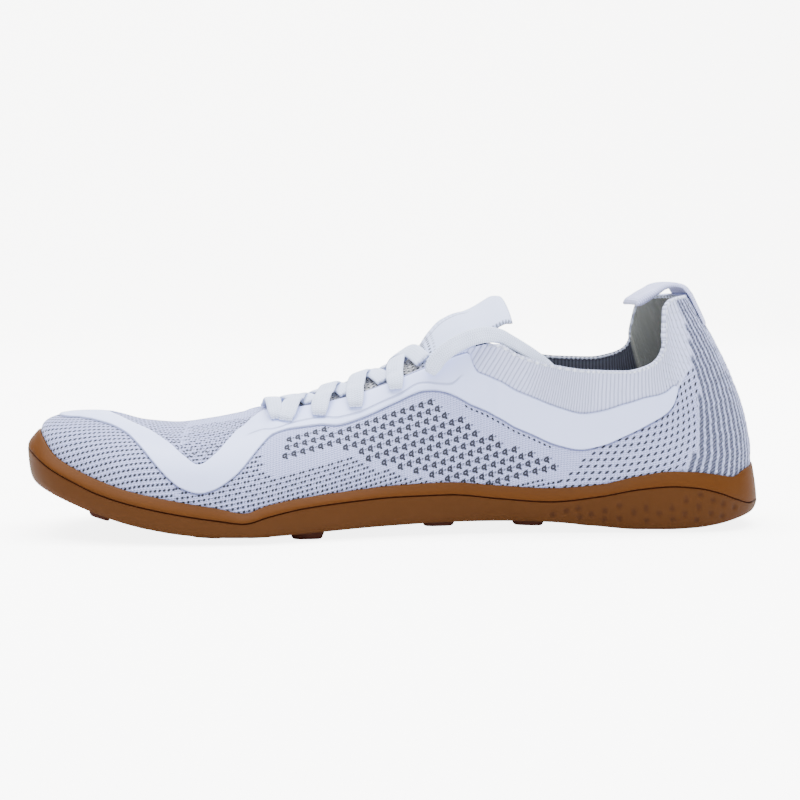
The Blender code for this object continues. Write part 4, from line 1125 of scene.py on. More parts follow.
def border(tree, run, points):
    """Course height of a zone's border over the way round the rim, from (run, height) rows."""
    made = node(tree, "ShaderNodeFloatCurve")
    feed(tree, made.inputs["Value"], sum_of(tree, "DIVIDE", run, RUN_SPAN))
    curve = made.mapping.curves[0]
    made.mapping.use_clip = False
    rows = [(u / RUN_SPAN, float(course_of(u, h)) / COURSE_SPAN) for u, h in sorted(points)]
    curve.points[0].location = rows[0]
    curve.points[1].location = rows[-1]
    for row in rows[1:-1]:
        curve.points.new(*row)
    for point in curve.points:
        point.handle_type = "VECTOR"
    made.mapping.update()
    return times(tree, made.outputs[0], COURSE_SPAN)


def between(tree, run, course, low, high):
    """1 where a cell's middle lies between two borders."""
    above = is_over(tree, course, border(tree, run, low))
    under = is_under(tree, course, border(tree, run, high))
    return times(tree, above, under)


def in_range(tree, value, low, high):
    return times(tree, is_over(tree, value, low), is_under(tree, value, high))


print("border helpers ready")

# %% [markdown]
# The rows give a border's height above the rim of the sole over the way round it, in millimetres.

# %% Zones of the pattern
LOOP_TOP = (
    (0, 0), (99, 0), (100, 28.0), (106.7, 28.9), (114.8, 31.9), (121.9, 35.5), (128.6, 37.2), (134.7, 41.6),
    (140.9, 45.7), (147, 49.4), (150.5, 52.0), (153.6, 50.8), (160.7, 49.6), (168.4, 47.4), (175.8, 44.6),
    (187.8, 41.8), (193.4, 44.7), (206, 42.4), (209.1, 40.3), (210, 0), (320, 0),
)
LOOP_LOW = (
    (0, 60), (99, 60), (101, 23.5), (110.8, 20.4), (119.9, 18.8), (129, 18.1), (142.9, 19.8), (153.6, 22.6),
    (163.8, 25.4), (174.2, 29.4), (178.9, 31.4), (184.1, 34.0), (190.3, 35.6), (197.5, 33.6), (205.5, 31.2),
    (209.6, 30.6), (211, 60), (320, 60),
)
SLIT_TOP = (
    (0, 0), (100, 20.5), (118, 18.5), (139.3, 18.6), (151, 20.6), (162.8, 22.6), (168.4, 25.0), (174.7, 28.3),
    (182.6, 30.8), (190.8, 29.0), (200.7, 26.3), (208.6, 24.7), (214, 24.4), (216.4, 26.2), (216.6, 60),
    (247, 60), (247.5, 0), (320, 0),
)
HEEL_TOP = (
    (0, 70), (78, 70), (84.6, 34.3), (88, 32.0), (90, 29.0), (93.2, 24.6), (96.7, 23.3), (100, 20.5),
    (101, 0), (320, 0),
)
AT_RIM = ((0, 0), (320, 0))
print("zones charted")

# %% [markdown]
# Repeats are placed with one helper: it sets a lattice over the sheet, moved so that one of its points
# falls where the pattern was charted, and gives back each cell's middle and the place inside the cell.

# %% Knit pattern helpers
def cells(tree, across, up, pitch, row, shift, origin=(0.0, 0.0)):
    """Lattice over two running values: cell middle across and up, place inside the cell across and up."""
    u0, r0 = origin[0] - pitch / 2, origin[1] - row / 2
    made = place_group(tree, lattice_group, Across=minus(tree, across, u0), Up=minus(tree, up, r0),
                       Pitch=pitch, Row=row, Shift=shift)
    return (plus(tree, made["Cell Across"], u0), plus(tree, made["Cell Up"], r0),
            made["Local Across"], made["Local Up"])


def oval(tree, x, y, half_length, half_width, turn=0.0, edge=0.25, at=(0.0, 0.0)):
    return place_group(tree, oval_group, Across=x, Up=y, Centre_Across=at[0], Centre_Up=at[1],
                       Half_Length=half_length, Half_Width=half_width, Turn=turn, Edge=edge)["Mask"]


print("pattern helpers ready")

# %% [markdown]
# The holes come first. Each kind is drawn in the cells of its own lattice and kept only inside its
# zone. The loops of the arch band are a ring with a tail and a spur, and a small dot between two rings.

# %% Holes of the knit
knit_look, t, knit_shader = new_material("white_knit", 0.85, sheen=0.2)
u, r, above, rope, roped_mask, collar_mask, film_gap, film_over = (
    point_value(t, name)
    for name in ("run", "course", "above", "rope", "roped", "collar", "under_film", "over_film"))
plain = minus(t, 1.0, ramp(t, either(t, roped_mask, collar_mask), 0.05, 0.35))

cu, _, lx, ly = cells(t, u, r, 1.7, 2.2, 0.5)
toe_dots = times(t, oval(t, lx, ly, 0.60, 0.48, -0.6, 0.3), is_over(t, cu, 247.6))

cu, cr, lx, ly = cells(t, u, r, 3.75, 1.8, 0.413)
beside = size_of(t, lx)
near_rim = is_under(t, minus(t, above, ly), 3.2)
apart = plus(t, 0.64, times(t, near_rim, 0.28))
slits = oval(t, beside, ly, 0.50, 0.50, -0.45, 0.3, at=(apart, 0.0))
faint = times(t, oval(t, beside, ly, 0.28, 0.24, 0.0, 0.4, at=(1.87, 0.0)), 0.75)
slits = times(t, either(t, slits, faint), between(t, cu, cr, AT_RIM, SLIT_TOP), is_over(t, cu, 100.0))

cu, cr, lx, ly = cells(t, u, r, 3.55, 3.46, 0.234, (149.35, float(course_of(150.1, 50.2))))
out_x = minus(t, lx, 0.75)
ring_far = sum_of(t, "SQRT", plus(t, times(t, out_x, out_x), times(t, ly, ly)))
ring_line = ramp(t, size_of(t, minus(t, ring_far, 0.64)), 0.54, 0.32)
core = times(t, ramp(t, ring_far, 0.6, 0.2), 0.5)
tail = oval(t, lx, ly, 0.95, 0.40, 1.0, 0.3, at=(0.08, -0.95))
spur = oval(t, lx, ly, 0.50, 0.32, -0.9, 0.3, at=(0.30, 0.85))
small_dot = times(t, oval(t, lx, ly, 0.42, 0.34, 0.0, 0.4, at=(-1.02, 0.1)), 0.8)
loops = times(t, either(t, ring_line, tail, spur, small_dot, core), between(t, cu, cr, LOOP_LOW, LOOP_TOP))

cu, cr, lx, ly = cells(t, u, r, 2.8, 2.5, 0.357)
heel_slits = times(t, oval(t, lx, ly, 0.90, 0.46, -0.6, 0.3), between(t, cu, cr, AT_RIM, HEEL_TOP), plain)

cu, _, lx, ly = cells(t, u, film_gap, 2.0, 30.0, 0.0, (0.0, 1.7))
film_dots = times(t, oval(t, lx, ly, 0.5, 0.42), in_range(t, cu, 103.0, 137.0))
cu, cr, lx, ly = cells(t, u, film_over, 2.6, 2.1, 0.5)
vamp_fade = plus(t, times(t, ramp(t, minus(t, film_over, ly), 11.0, 2.0), 0.75), 0.22)
vamp_dots = times(t, oval(t, lx, ly, 0.64, 0.38, -0.5, 0.35), in_range(t, cu, 214.0, 263.0),
                  is_over(t, cr, 0.4), vamp_fade)
_, _, lx, ly = cells(t, u, above, 1.8, 3.1, 0.5)
collar_dots = times(t, oval(t, lx, ly, 0.2, 0.42, 0.0, 0.4), in_range(t, u, 12.0, 52.0),
                    ramp(t, collar_mask, 0.3, 0.7), 0.4)
holes = times(t, either(t, toe_dots, slits, loops, film_dots, vamp_dots), plain)
holes = either(t, holes, heel_slits, collar_dots)
print("holes drawn:", len(t.nodes), "nodes so far")

# %% [markdown]
# Then the colours: fine rows of stitches everywhere with painted shade in the gaps between them,
# upright ribs on the collar, dark bands with lighter beads between the heel's ropes, a thin painted
# shade along the film, and the dark of the holes last.

# %% Colours of the knit
wale = ripple_of(t, u, 1.15)
row_wave = ripple_of(t, plus(t, r, times(t, wale, 0.22)), 0.86)
stitch = plus(t, times(t, row_wave, 0.65), times(t, wale, 0.35))
fan = plus(t, 0.05, times(t, ramp(t, u, 84.0, 114.0), 0.50))
collar_rib = ripple_of(t, plus(t, u, times(t, above, fan)), 1.8)
collar_line = times(t, ramp(t, collar_rib, 0.35, 0.02), collar_mask)
dark_band = times(t, ramp(t, ripple_of(t, minus(t, rope, 0.1), 1.0), 0.84, 0.56), roped_mask)
beads = times(t, ramp(t, ripple_of(t, plus(t, r, times(t, rope, 0.55)), 1.3), 0.35, 0.75), roped_mask)
bead_dark = times(t, minus(t, 1.0, beads), roped_mask, minus(t, 1.0, dark_band))
flecks = times(t, ramp(t, noise(t, 900.0), 0.60, 0.50), roped_mask)
near_low = times(t, ramp(t, film_gap, 1.1, 0.45), is_over(t, film_gap, -0.3))
near_high = times(t, ramp(t, film_over, 0.9, 0.3), is_over(t, film_over, -0.3))
film_shade = times(t, either(t, near_low, times(t, near_high, 0.7)), is_over(t, u, 43.0))
# The darker colour between the stitch rows is painted shade in the knit's gaps; film_shade is painted shade
# along the film's edges
tone = layers(t, rgb(187, 193, 238),
              (times(t, minus(t, 1.0, stitch), plain), 0.85, (112, 120, 168)),
              (collar_mask, 0.6, (198, 204, 234)),
              (collar_line, 0.7, (122, 128, 162)),
              (roped_mask, 0.7, (186, 194, 236)),
              (dark_band, 0.96, (36, 40, 60)),
              (bead_dark, 0.34, (92, 98, 132)),
              (times(t, beads, dark_band), 0.22, (170, 176, 206)),
              (flecks, 0.3, (84, 90, 122)),
              (film_shade, 0.8, (84, 90, 130)),
              (holes, 0.97, (16, 19, 32)))
t.links.new(tone, knit_shader.inputs["Base Color"])
height = plus(t, times(t, stitch, plain, 0.4), times(t, collar_rib, collar_mask, 0.6))
height = plus(t, minus(t, height, holes), times(t, beads, roped_mask, 0.5))
bump(t, knit_shader, height, 0.9, 0.0006)
print("knit material:", len(t.nodes), "nodes")

# %% [markdown]
# The lining is a darker, grey-navy knit with upright ribs; round the heel it is a smooth beige-grey
# cloth with one seam up its side.

# %% Lining
lining_look, t, lining_shader = new_material("dark_lining", 0.9, sheen=0.15)
u = point_value(t, "run")
lining_rib = ripple_of(t, u, 1.6)
seam = ramp(t, size_of(t, minus(t, u, 41.5)), 1.1, 0.3)
tone = layers(t, rgb(42, 44, 56),
              (lining_rib, 0.6, (86, 89, 104)),
              (ramp(t, u, 45.0, 42.5), 1.0, (132, 134, 130)),
              (seam, 0.6, (170, 170, 164)))
t.links.new(tone, lining_shader.inputs["Base Color"])
bump(t, lining_shader, plus(t, times(t, lining_rib, 0.5), seam), 0.5, 0.0005)
print("lining material made")

# %% [markdown]
# The film's edges are needed already here, since the ribbed collar starts at the film's upper edge and
# a row of dots follows its lower one. Then the sheet closes: outside, lining, rim and the bottom edge.

# %% Film edges
FILM = (                       # foot, low edge, high edge as bow positions
    (31.0, 0.615, 0.650),
    (33.0, 0.590, 0.672),
    (36.0, 0.550, 0.678),
    (42.0, 0.505, 0.690),
    (51.0, 0.450, 0.710),
    (60.0, 0.390, 0.685),
    (68.0, 0.340, 0.645),
    (77.0, 0.312, 0.620),
    (86.0, 0.345, 0.655),
    (96.0, 0.408, 0.698),
    (105.0, 0.440, 0.708),
    (111.0, 0.470, 0.722),
    (115.2, 0.495, 0.745),
    (117.2, 0.512, 0.778),
    (118.2, 0.521, 0.860),
    (119.2, 0.531, 0.950),
    (120.5, 0.550, 0.966),
    (124.0, 0.600, 0.970),
    (129.0, 0.665, 0.970),
    (134.0, 0.710, 0.970),
    (138.5, 0.730, 0.970),
    (148.0, 0.700, 0.970),
    (159.0, 0.645, 0.970),
    (169.0, 0.615, 0.970),
    (177.0, 0.655, 0.970),
    (187.5, 0.640, 0.965),
    (195.0, 0.570, 0.940),
    (198.5, 0.480, 0.900),
    (204.0, 0.360, 0.775),
    (210.0, 0.235, 0.635),
    (217.0, 0.130, 0.425),
    (223.0, 0.092, 0.325),
    (229.0, 0.115, 0.410),
    (235.0, 0.200, 0.540),
    (240.0, 0.310, 0.630),
    (246.0, 0.460, 0.730),
    (252.5, 0.595, 0.800),
    (257.0, 0.645, 0.840),
    (262.5, 0.680, 0.900),
    (267.0, 0.690, 0.945),
    (271.0, 0.700, 1.000),
    (276.0, 0.700, 1.000),
    (281.5, 0.640, 1.000),
    (285.0, 0.600, 1.000),
)


def film_low(feet):
    return read(FILM, 1, feet)


def film_high(feet):
    return read(FILM, 2, feet)


print("film rows:", len(FILM))

# %% [markdown]
# Where both sides meet over the toe they share one line of points. Every point gets its numbers for the
# material, outside and lining alike, and the rim and the bottom edge close the sheet.

# %% Sheet of the upper
def climb_at(rib, v):
    """Height up the cloth of a bow position on one rib."""
    return np.interp(v, bows[rib], climb[rib])


low_edge = np.array([climb_at(i, float(film_low(UPPER_FEET[i]))) for i in range(rib_total)])
high_edge = np.array([climb_at(i, float(film_high(UPPER_FEET[i]))) for i in range(rib_total)])
for i in np.where(crest)[0]:
    j = (rib_total - i) % rib_total
    if i <= j:
        upper_out[i, -1] = upper_out[j, -1] = unit(upper_out[i, -1] + upper_out[j, -1])
        outer_face[i, -1] = outer_face[j, -1] = (outer_face[i, -1] + outer_face[j, -1]) / 2
inner_face = outer_face - upper_out * (WALL * MM)
sheet_size = rib_total * row_total
outer_quads = grid_faces(rib_total, row_total, close_rows=True)
sheet_faces = outer_quads + [[i + sheet_size for i in quad] for quad in outer_quads]
sheet_slots = [0] * len(outer_quads) + [1] * len(outer_quads)
for i in range(rib_total):
    j = (i + 1) % rib_total
    for column in (0, row_total - 1):
        if column and crest[i] and crest[j]:
            continue
        a, b = i * row_total + column, j * row_total + column
        sheet_faces.append([a, b, b + sheet_size, a + sheet_size])
        sheet_slots.append(0)
wide = np.ones((1, row_total))
COLLAR_END = 120               # the ribbed collar runs from the heel to this foot
FILM_END = FILM[0][0]
collar = np.where(UPPER_FEET < FILM_END, np.clip((bows.T - 0.9) / 0.03, 0, 1),
                  np.clip((bows.T - film_high(np.maximum(UPPER_FEET, FILM_END)) + 0.01) / 0.01, 0, 1)).T
behind = np.interp(UPPER_FEET, (0, 20, 31, 45), (1, 1, 1, 0))[:, None] * (bows > 0.62)
collar = np.clip(collar * (UPPER_FEET < COLLAR_END)[:, None] + behind * 0.8, 0, 1) * (1 - roped)
numbers = {
    "run": around[:, None] * wide,
    "course": course_of(around, 0.0)[:, None] + climb,
    "above": climb - rim_height[:, None],
    "rope": ropes_wavy,
    "roped": roped,
    "collar": collar,
    "under_film": low_edge[:, None] - climb,
    "over_film": climb - high_edge[:, None],
}
knit_upper = make_mesh("knit_upper", two_faces(outer_face, inner_face), sheet_faces,
                       [knit_look, lining_look], on_both(numbers), slots=sheet_slots)
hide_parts("upper")
print("knit upper:", len(knit_upper.data.polygons), "faces")

# %% [markdown]
# A scalloped hem closes the collar: one thick thread wound round the edge, seen as a row of little
# teeth. It is a tube along the rim whose radius swells once a stitch, and its colour is darker where
# it narrows: painted shade between the teeth.

# %% Hem of the collar
HEM_PITCH = 1.8
HEM_SIDES = 8
hem_feet = feet_at((0, 130, 0.45))
hem_feet = hem_feet[hem_feet < 112.6]
hem_loop = [(f, OUTER) for f in hem_feet[:0:-1]] + [(f, INNER) for f in hem_feet]
hem_line = np.array([world(bow_at(f, s, 1.0)) for f, s in hem_loop])
FAR = 1e3                      # keeps ribs of the other side out of the search
hem_ribs = [int(np.argmin(np.abs(UPPER_FEET - f) + FAR * (UPPER_SIDES != s) * (f > 0.01)))
            for f, s in hem_loop]
hem_out = upper_out[hem_ribs, -1]
hem_line = hem_line - hem_out * (WALL / 2 * MM)
hem_run = unit(np.gradient(hem_line, axis=0))
hem_out = square_to(hem_run, hem_out)
hem_up = np.cross(hem_run, hem_out)
if hem_up[len(hem_up) // 4, 2] < 0:
    hem_up = -hem_up
swell = 0.5 + 0.5 * np.cos(2 * math.pi * way_along(hem_line) / MM / HEM_PITCH)
turns = np.linspace(0, 2 * math.pi, HEM_SIDES, endpoint=False)
hem_wide = np.cos(turns)[None, :] * (1.05 + 0.22 * swell)[:, None]
hem_high = np.sin(turns)[None, :] * (0.55 + 0.32 * swell)[:, None] - 0.75
hem_swing = hem_out[:, None] * hem_wide[..., None] + hem_up[:, None] * hem_high[..., None]
hem_points = (hem_line[:, None] + hem_swing * MM).reshape(-1, 3)
hem_look, t, hem_shader = new_material("hem_thread", 0.85, sheen=0.2)
# tooth carries the swell; the thread is drawn darker where the tube narrows, as painted shade between the
# teeth
tooth = point_value(t, "tooth")
t.links.new(mix_colour(t, tooth, rgb(150, 156, 186), rgb(222, 228, 246)), hem_shader.inputs["Base Color"])
collar_hem = make_mesh("collar_hem", hem_points, tube_faces(len(hem_line), HEM_SIDES), [hem_look],
                       {"tooth": np.repeat(swell, HEM_SIDES)})
print("collar hem:", len(hem_feet) * 2, "rings")

# %% [markdown]
# The film is a smooth strip fused on the knit, a little over half a millimetre thick with rounded
# edges. It runs along the quarter, up to the collar, past the eyelets, and over the toe crest to the
# other side. An embossed line follows its lower edge.

# %% Film
FILM_THICK = 0.6
FILM_SHARES = np.array([0.0, 0.008, 0.02, 0.04, 0.08, 0.16, 0.26, 0.36, 0.46, 0.56, 0.66, 0.76, 0.86, 0.93,
                        0.965, 0.982, 0.993, 1.0])
EMBOSSED = (                   # foot, bow position of the pressed line
    (122.0, 0.760), (126.0, 0.712), (131.0, 0.745), (135.0, 0.785), (139.0, 0.808), (144.5, 0.775),
    (152.5, 0.740), (160.5, 0.702), (168.5, 0.690), (176.5, 0.738), (185.0, 0.712), (196.0, 0.620),
    (205.5, 0.580),
)
film_feet = feet_at((0, 311, 1.15))
film_feet = np.unique(np.concatenate([[FILM_END], film_feet[film_feet > FILM_END + 0.2]]))
film_f = np.concatenate([film_feet, film_feet[-2::-1]])
film_s = np.where(np.arange(len(film_f)) < len(film_feet), INNER, OUTER)
film_v = film_low(film_f)[:, None] + (film_high(film_f) - film_low(film_f))[:, None] * FILM_SHARES[None, :]


film_grid = by_side(film_f, film_s, lambda f, s: np.stack(
    [bow(f, s, film_v[film_s == s][:, c]) for c in range(len(FILM_SHARES))], axis=1))
film_out = grid_normals(world(film_grid))
if film_out[10, 8, 1] > 0:
    film_out = -film_out
film_crest = film_high(film_f) > 0.9999
film_out[film_crest, -1, 1] = 0.0
film_out = unit(film_out)
film_way = way_along(film_grid)
film_total = film_way[:, -1:]
to_edge = np.minimum(film_way, np.where(film_crest[:, None], 99.0, film_total - film_way))
lift = FILM_THICK * np.sqrt(np.clip(1 - (1 - np.clip(to_edge / 0.55, 0, 1))**2, 0, 1))
film_relief = crease_depth(film_f[:, None], film_v)
film_top = world(film_grid) + film_out * ((film_relief + lift + 0.03) * MM)[..., None]
film_back = world(film_grid) + film_out * ((film_relief - 0.35) * MM)[..., None]
film_quads, film_faces = shell_faces(*film_top.shape[:2], open_rows=film_crest)
rise_of = film_total / np.maximum(film_v[:, -1:] - film_v[:, :1], 1e-6)
mark_far = (film_v - read(EMBOSSED, 1, film_f)[:, None]) * rise_of
mark_on = np.clip((film_f - 121.5) / 1.5, 0, 1) * np.clip((206 - film_f) / 3, 0, 1)
film_numbers = {"mark_far": mark_far, "mark_on": mark_on[:, None] * np.ones_like(mark_far),
                "to_edge": np.minimum(to_edge, 5.0)}
print("film grid:", film_top.shape[:2])

# %% [markdown]
# The film is a smooth, slightly cloudy white. The embossed line is pressed in and darkened with painted
# shade, and a thin grey line of painted shade runs along the film's edge.

# %% Film material
film_look, t, film_shader = new_material("white_film", 0.42)
pressed = times(t, ramp(t, size_of(t, point_value(t, "mark_far")), 0.75, 0.12), point_value(t, "mark_on"))
# pressed darkens the embossed line and to_edge darkens the rim of the film: both are painted shade
tone = layers(t, rgb(200, 210, 253),
              (noise(t, 90.0), 0.25, (190, 201, 249)),
              (pressed, 0.6, (112, 120, 168)),
              (ramp(t, point_value(t, "to_edge"), 0.55, 0.15), 0.5, (124, 132, 174)))
t.links.new(tone, film_shader.inputs["Base Color"])
bump(t, film_shader, minus(t, times(t, noise(t, 1500.0), 0.12), pressed), 0.6, 0.0005)
film_strip = make_mesh("film_strip", two_faces(film_top, film_back), film_faces, [film_look],
                       on_both(film_numbers))
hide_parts("overlay_film")
print("film:", len(film_strip.data.polygons), "faces")

# %% [markdown]
# The tongue is an arched strip that stays under the throat's edges. Everything that lies on something
# else from here on is found by looking straight down on the sheets below it.

# %% Tongue
TONGUE_AIR = 0.5
TONGUE_THICK = 2.2
knit_tree = BVHTree.FromPolygons([tuple(p) for p in outer_face.reshape(-1, 3)], outer_quads)
film_tree = BVHTree.FromPolygons([tuple(p) for p in film_top.reshape(-1, 3)], film_quads)
DOWN = Vector((0.0, 0.0, -1.0))


def under_point(tree, station, across):
    """Height in mm of a sheet under a point of the plan, and how upright its normal is."""
    start = world(np.array([station, across, 160.0]))
    hit, normal, _, _ = tree.ray_cast(Vector(start), DOWN)
    if hit is None:
        return None, 1.0
    return hit.z / MM, max(0.25, abs(normal.z))


TONGUE = (                     # station, crest, half, fall to the edge, rolled edge, tilt
    (100.5, 86.3, 13.0, 2.0, 0.0, 4.5),
    (104.0, 87.1, 14.6, 2.4, 0.0, 4.5),
    (109.0, 84.8, 15.2, 2.8, 0.2, 4.2),
    (115.0, 81.4, 15.8, 3.2, 0.7, 3.6),
    (121.0, 77.9, 16.0, 3.9, 1.2, 2.8),
    (127.0, 73.5, 15.8, 4.6, 1.2, 1.8),
    (133.0, 68.3, 15.4, 5.2, 0.8, 0.8),
    (139.0, 64.4, 15.0, 5.4, 0.2, 0.0),
    (145.0, 61.4, 18.5, 9.0, 0.0, 0.0),
    (152.0, 58.4, 20.0, 11.0, 0.0, 0.0),
    (163.0, 54.0, 19.0, 10.0, 0.0, 0.0),
    (176.0, 50.0, 17.5, 8.5, 0.0, 0.0),
    (188.0, 46.4, 15.5, 7.0, 0.0, 0.0),
    (196.0, 43.4, 13.0, 6.0, 0.0, 0.0),
    (205.0, 40.6, 9.0, 4.0, 0.0, 0.0),
)
PUFF_ALONG = ((112, 0.0), (116, 0.9), (121, 3.2), (127, 5.2), (132, 4.6), (137, 0.9), (140, 0.0))
PUFF_ACROSS = ((-1.0, 0.10), (-0.5, 0.45), (0.0, 0.80), (0.45, 1.15), (0.8, 1.10), (1.0, 0.75))


def tongue_puff(station, share):
    """Rise of the rolled, padded band that runs over the tongue below its tab."""
    return float(np.interp(station, *zip(*PUFF_ALONG)) * np.interp(share, *zip(*PUFF_ACROSS)))


def tongue_height(station, share):
    crest_z, half, fall, roll, tilt = (float(read(TONGUE, k, station)) for k in (1, 2, 3, 4, 5))
    y = float(read(PLAN, 3, station)) + half * share
    rolled = roll * max(0.0, abs(share) - 0.6) / 0.4 * (1.0 if share > 0 else 0.6)
    z = crest_z + tilt * share - fall * abs(share)**2.1 + rolled + tongue_puff(station, share)
    for reach in (-3.0, -1.5, 0.0, 1.5, 3.0):
        top, upright = under_point(knit_tree, station, y + reach)
        if top is not None and top > z - 12.0:
            z = min(z, top - (WALL + TONGUE_AIR) / upright)
    return station, y, z


print("tongue rows:", len(TONGUE))

# %% [markdown]
# The points are laid out along and across, smoothed a little, and given a thickness that rounds off at
# the edges.

# %% Sheet of the tongue
TONGUE_STATIONS = np.concatenate([np.linspace(100.5, 140, 41)[:-1], np.linspace(140, 204.5, 37)])
TONGUE_SHARES = np.sin(np.linspace(-1, 1, 31) * math.pi / 2)
tongue_grid = np.array([[tongue_height(s, c) for c in TONGUE_SHARES] for s in TONGUE_STATIONS])
lift = tongue_grid[..., 2]
for _ in range(2):
    lift[1:-1] = (lift[:-2] + 2 * lift[1:-1] + lift[2:]) / 4
tongue_top = world(tongue_grid)
tongue_out = grid_normals(tongue_top)
if tongue_out[5, 15, 2] < 0:
    tongue_out = -tongue_out
edge_gap = (1 - np.abs(TONGUE_SHARES))[None, :] * read(TONGUE, 2, TONGUE_STATIONS)[:, None]
end_gap = (TONGUE_STATIONS - TONGUE_STATIONS[0])[:, None] * np.ones_like(edge_gap)
round_off = np.sqrt(np.clip(1 - (1 - np.clip(np.minimum(edge_gap, end_gap) / 1.1, 0, 1))**2, 0, 1))
sunk = (1 - round_off) * TONGUE_THICK / 2
tongue_face = tongue_top - tongue_out * (sunk * MM)[..., None]
tongue_low = tongue_top - tongue_out * ((TONGUE_THICK - sunk + 0.001) * MM)[..., None]
tongue_quads, tongue_faces = shell_faces(*tongue_top.shape[:2])
tongue_numbers = {"back_along": tongue_grid[..., 0], "over": tongue_grid[..., 1],
                  "share": TONGUE_SHARES[None, :] * np.ones((len(TONGUE_STATIONS), 1))}
print("tongue grid:", tongue_top.shape[:2])

# %% [markdown]
# In the throat the tongue is an open grey mesh with dark holes. Its tab above is a smooth pale knit:
# a ribbed, padded band is folded over it on one side, with painted shade along the fold, and a dark
# thread runs down its edge.

# %% Tongue material
tongue_look, t, tongue_shader = new_material("tongue_knit", 0.88, sheen=0.2)
back_along, over, share = (point_value(t, name) for name in ("back_along", "over", "share"))
_, _, lx, ly = cells(t, over, back_along, 1.9, 1.7, 0.5)
open_holes = times(t, oval(t, lx, ly, 0.62, 0.42, 0.6, 0.35), ramp(t, back_along, 129.5, 132.5))
mesh_tone = mix_colour(t, ramp(t, noise(t, 1100.0), 0.45, 0.62), rgb(128, 128, 132), rgb(206, 206, 210))
fine = ripple_of(t, over, 0.9)
below_top = ramp(t, back_along, 114.0, 117.0)
fold_at = minus(t, share, times(t, minus(t, 131.0, back_along), 0.014))
band_rib = times(t, ramp(t, fold_at, 0.06, 0.10), below_top, ripple_of(t, back_along, 1.5))
# fold marks the line of the fold: it is sunk in the bump and darkened as painted shade
fold = times(t, ramp(t, size_of(t, minus(t, fold_at, 0.08)), 0.035, 0.01), below_top)
thread = times(t, ramp(t, share, -0.92, -0.96), ramp(t, back_along, 112.0, 108.0),
               ramp(t, ripple_of(t, back_along, 1.3), 0.45, 0.75))
tab_tone = layers(t, rgb(200, 210, 244),
                  (fine, 0.3, (172, 182, 220)),
                  (band_rib, 0.5, (160, 168, 206)),
                  (fold, 0.7, (112, 120, 156)))
tone = layers(t, mix_colour(t, ramp(t, back_along, 139.0, 133.0), mesh_tone, tab_tone),
              (open_holes, 0.9, (26, 28, 38)),
              (thread, 0.7, (80, 84, 100)))
t.links.new(tone, tongue_shader.inputs["Base Color"])
relief_height = plus(t, times(t, fine, 0.3), times(t, band_rib, 0.4))
bump(t, tongue_shader, minus(t, relief_height, plus(t, open_holes, fold)), 0.7, 0.0004)
tongue = make_mesh("tongue_knit", two_faces(tongue_face, tongue_low), tongue_faces, [tongue_look],
                   on_both(tongue_numbers))
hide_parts("tongue")
tongue_tree = BVHTree.FromPolygons([tuple(p) for p in tongue_top.reshape(-1, 3)], tongue_quads)
print("tongue:", len(tongue.data.polygons), "faces")

# %% [markdown]
# Each crossing is two flat strips. The one from the near eyelet rises over the tongue and leans towards
# the heel; the one from the far eyelet comes over the crest, dips, and slips under it beside the next
# eyelet. The strips are laid on whatever is highest below them, then lifted in an arch.

# %% Lace crossings
EYELETS = (                    # foot, bow position, and where the lace's rounded end lies below it
    (190.0, 0.780, 190.0, 0.728),
    (177.0, 0.812, 176.8, 0.757),
    (163.5, 0.812, 162.6, 0.752),
    (149.5, 0.860, 147.4, 0.805),
    (135.0, 0.885, 135.0, 0.850),
)
CROSSINGS = (                  # rise of near and far strip, how late the near one leans, their end width
    (2.5, 1.5, 0.92, 1.00),
    (3.1, 1.5, 1.10, 1.06),
    (3.2, 1.6, 1.90, 1.08),
    (2.4, 2.9, 1.90, 1.04),
)
LACE_AIR = 0.5


def lie(station, across):
    """Highest of the sheets under a point of the plan, looking a little to every side."""
    best = None
    for da in (-1.2, 0.0, 1.2):
        for dc in (-1.2, 0.0, 1.2):
            for tree in (film_tree, knit_tree, tongue_tree):
                z, _ = under_point(tree, station + da, across + dc)
                if z is not None and (best is None or z > best):
                    best = z
    return best


def lace_arch(t):
    """Rise of a strip: quick where it leaves its eyelet, low where it dives at the far edge."""
    wave = math.sin(math.pi * t)
    return wave**0.6 if t < 0.5 else wave**2


def laid(start, end, arch, late=1.0, steps=33):
    """Middle line of a strip over what lies below it, and its outward directions."""
    a, b = np.array(start, dtype=float), np.array(end, dtype=float)
    share = np.linspace(0, 1, steps)
    plan = np.stack([a[0] + (b[0] - a[0]) * share**late, a[1] + (b[1] - a[1]) * share], axis=1)
    way = unit(np.gradient(plan, axis=0))
    line, outs, slopes = [], [], []
    for i in range(steps):
        aside = np.array([-way[i, 1], way[i, 0]])
        heights = [lie(*(plan[i] + aside * c * LACE_WIDTH / 2)) for c in (-0.9, 0.0, 0.9)]
        line.append([plan[i, 0], plan[i, 1],
                     max(heights[1], (heights[0] + heights[2]) / 2) + LACE_AIR + arch * lace_arch(share[i])])
        slopes.append((heights[2] - heights[0]) / (1.8 * LACE_WIDTH / 2))
    line = np.array(line)
    for _ in range(3):
        line[1:-1, 2] = (line[:-2, 2] + 2 * line[1:-1, 2] + line[2:, 2]) / 4
    slopes = np.convolve(np.pad(slopes, 3, mode="edge"), np.ones(7) / 7, mode="valid")
    run = np.gradient(line, axis=0)
    for i in range(steps):
        outs.append(np.cross(run[i], np.array([-way[i, 1], way[i, 0], slopes[i]])))
        if outs[-1][2] < 0:
            outs[-1] = -outs[-1]
    line[0, 2] -= 0.7
    return line, np.array(outs)


print("strips can be laid")

# %% [markdown]
# Every crossing has a near and a far strip. A short bar across the two lowest eyelets starts the
# lacing.

# %% Strips over the tongue
def lace_foot(k, side):
    """Plan point of the rounded end of a strip, on the film below its eyelet."""
    p = bow_at(EYELETS[k][2], side, EYELETS[k][3])
    return p[0], p[1] + side * 1.0


def throat_spot(k, side, ahead, inside=3.4):
    foot = EYELETS[k][0]
    return foot + ahead, float(read(PLAN, 3, foot)) + side * (float(read(RIBS, 2, foot + 1.0)) - inside)


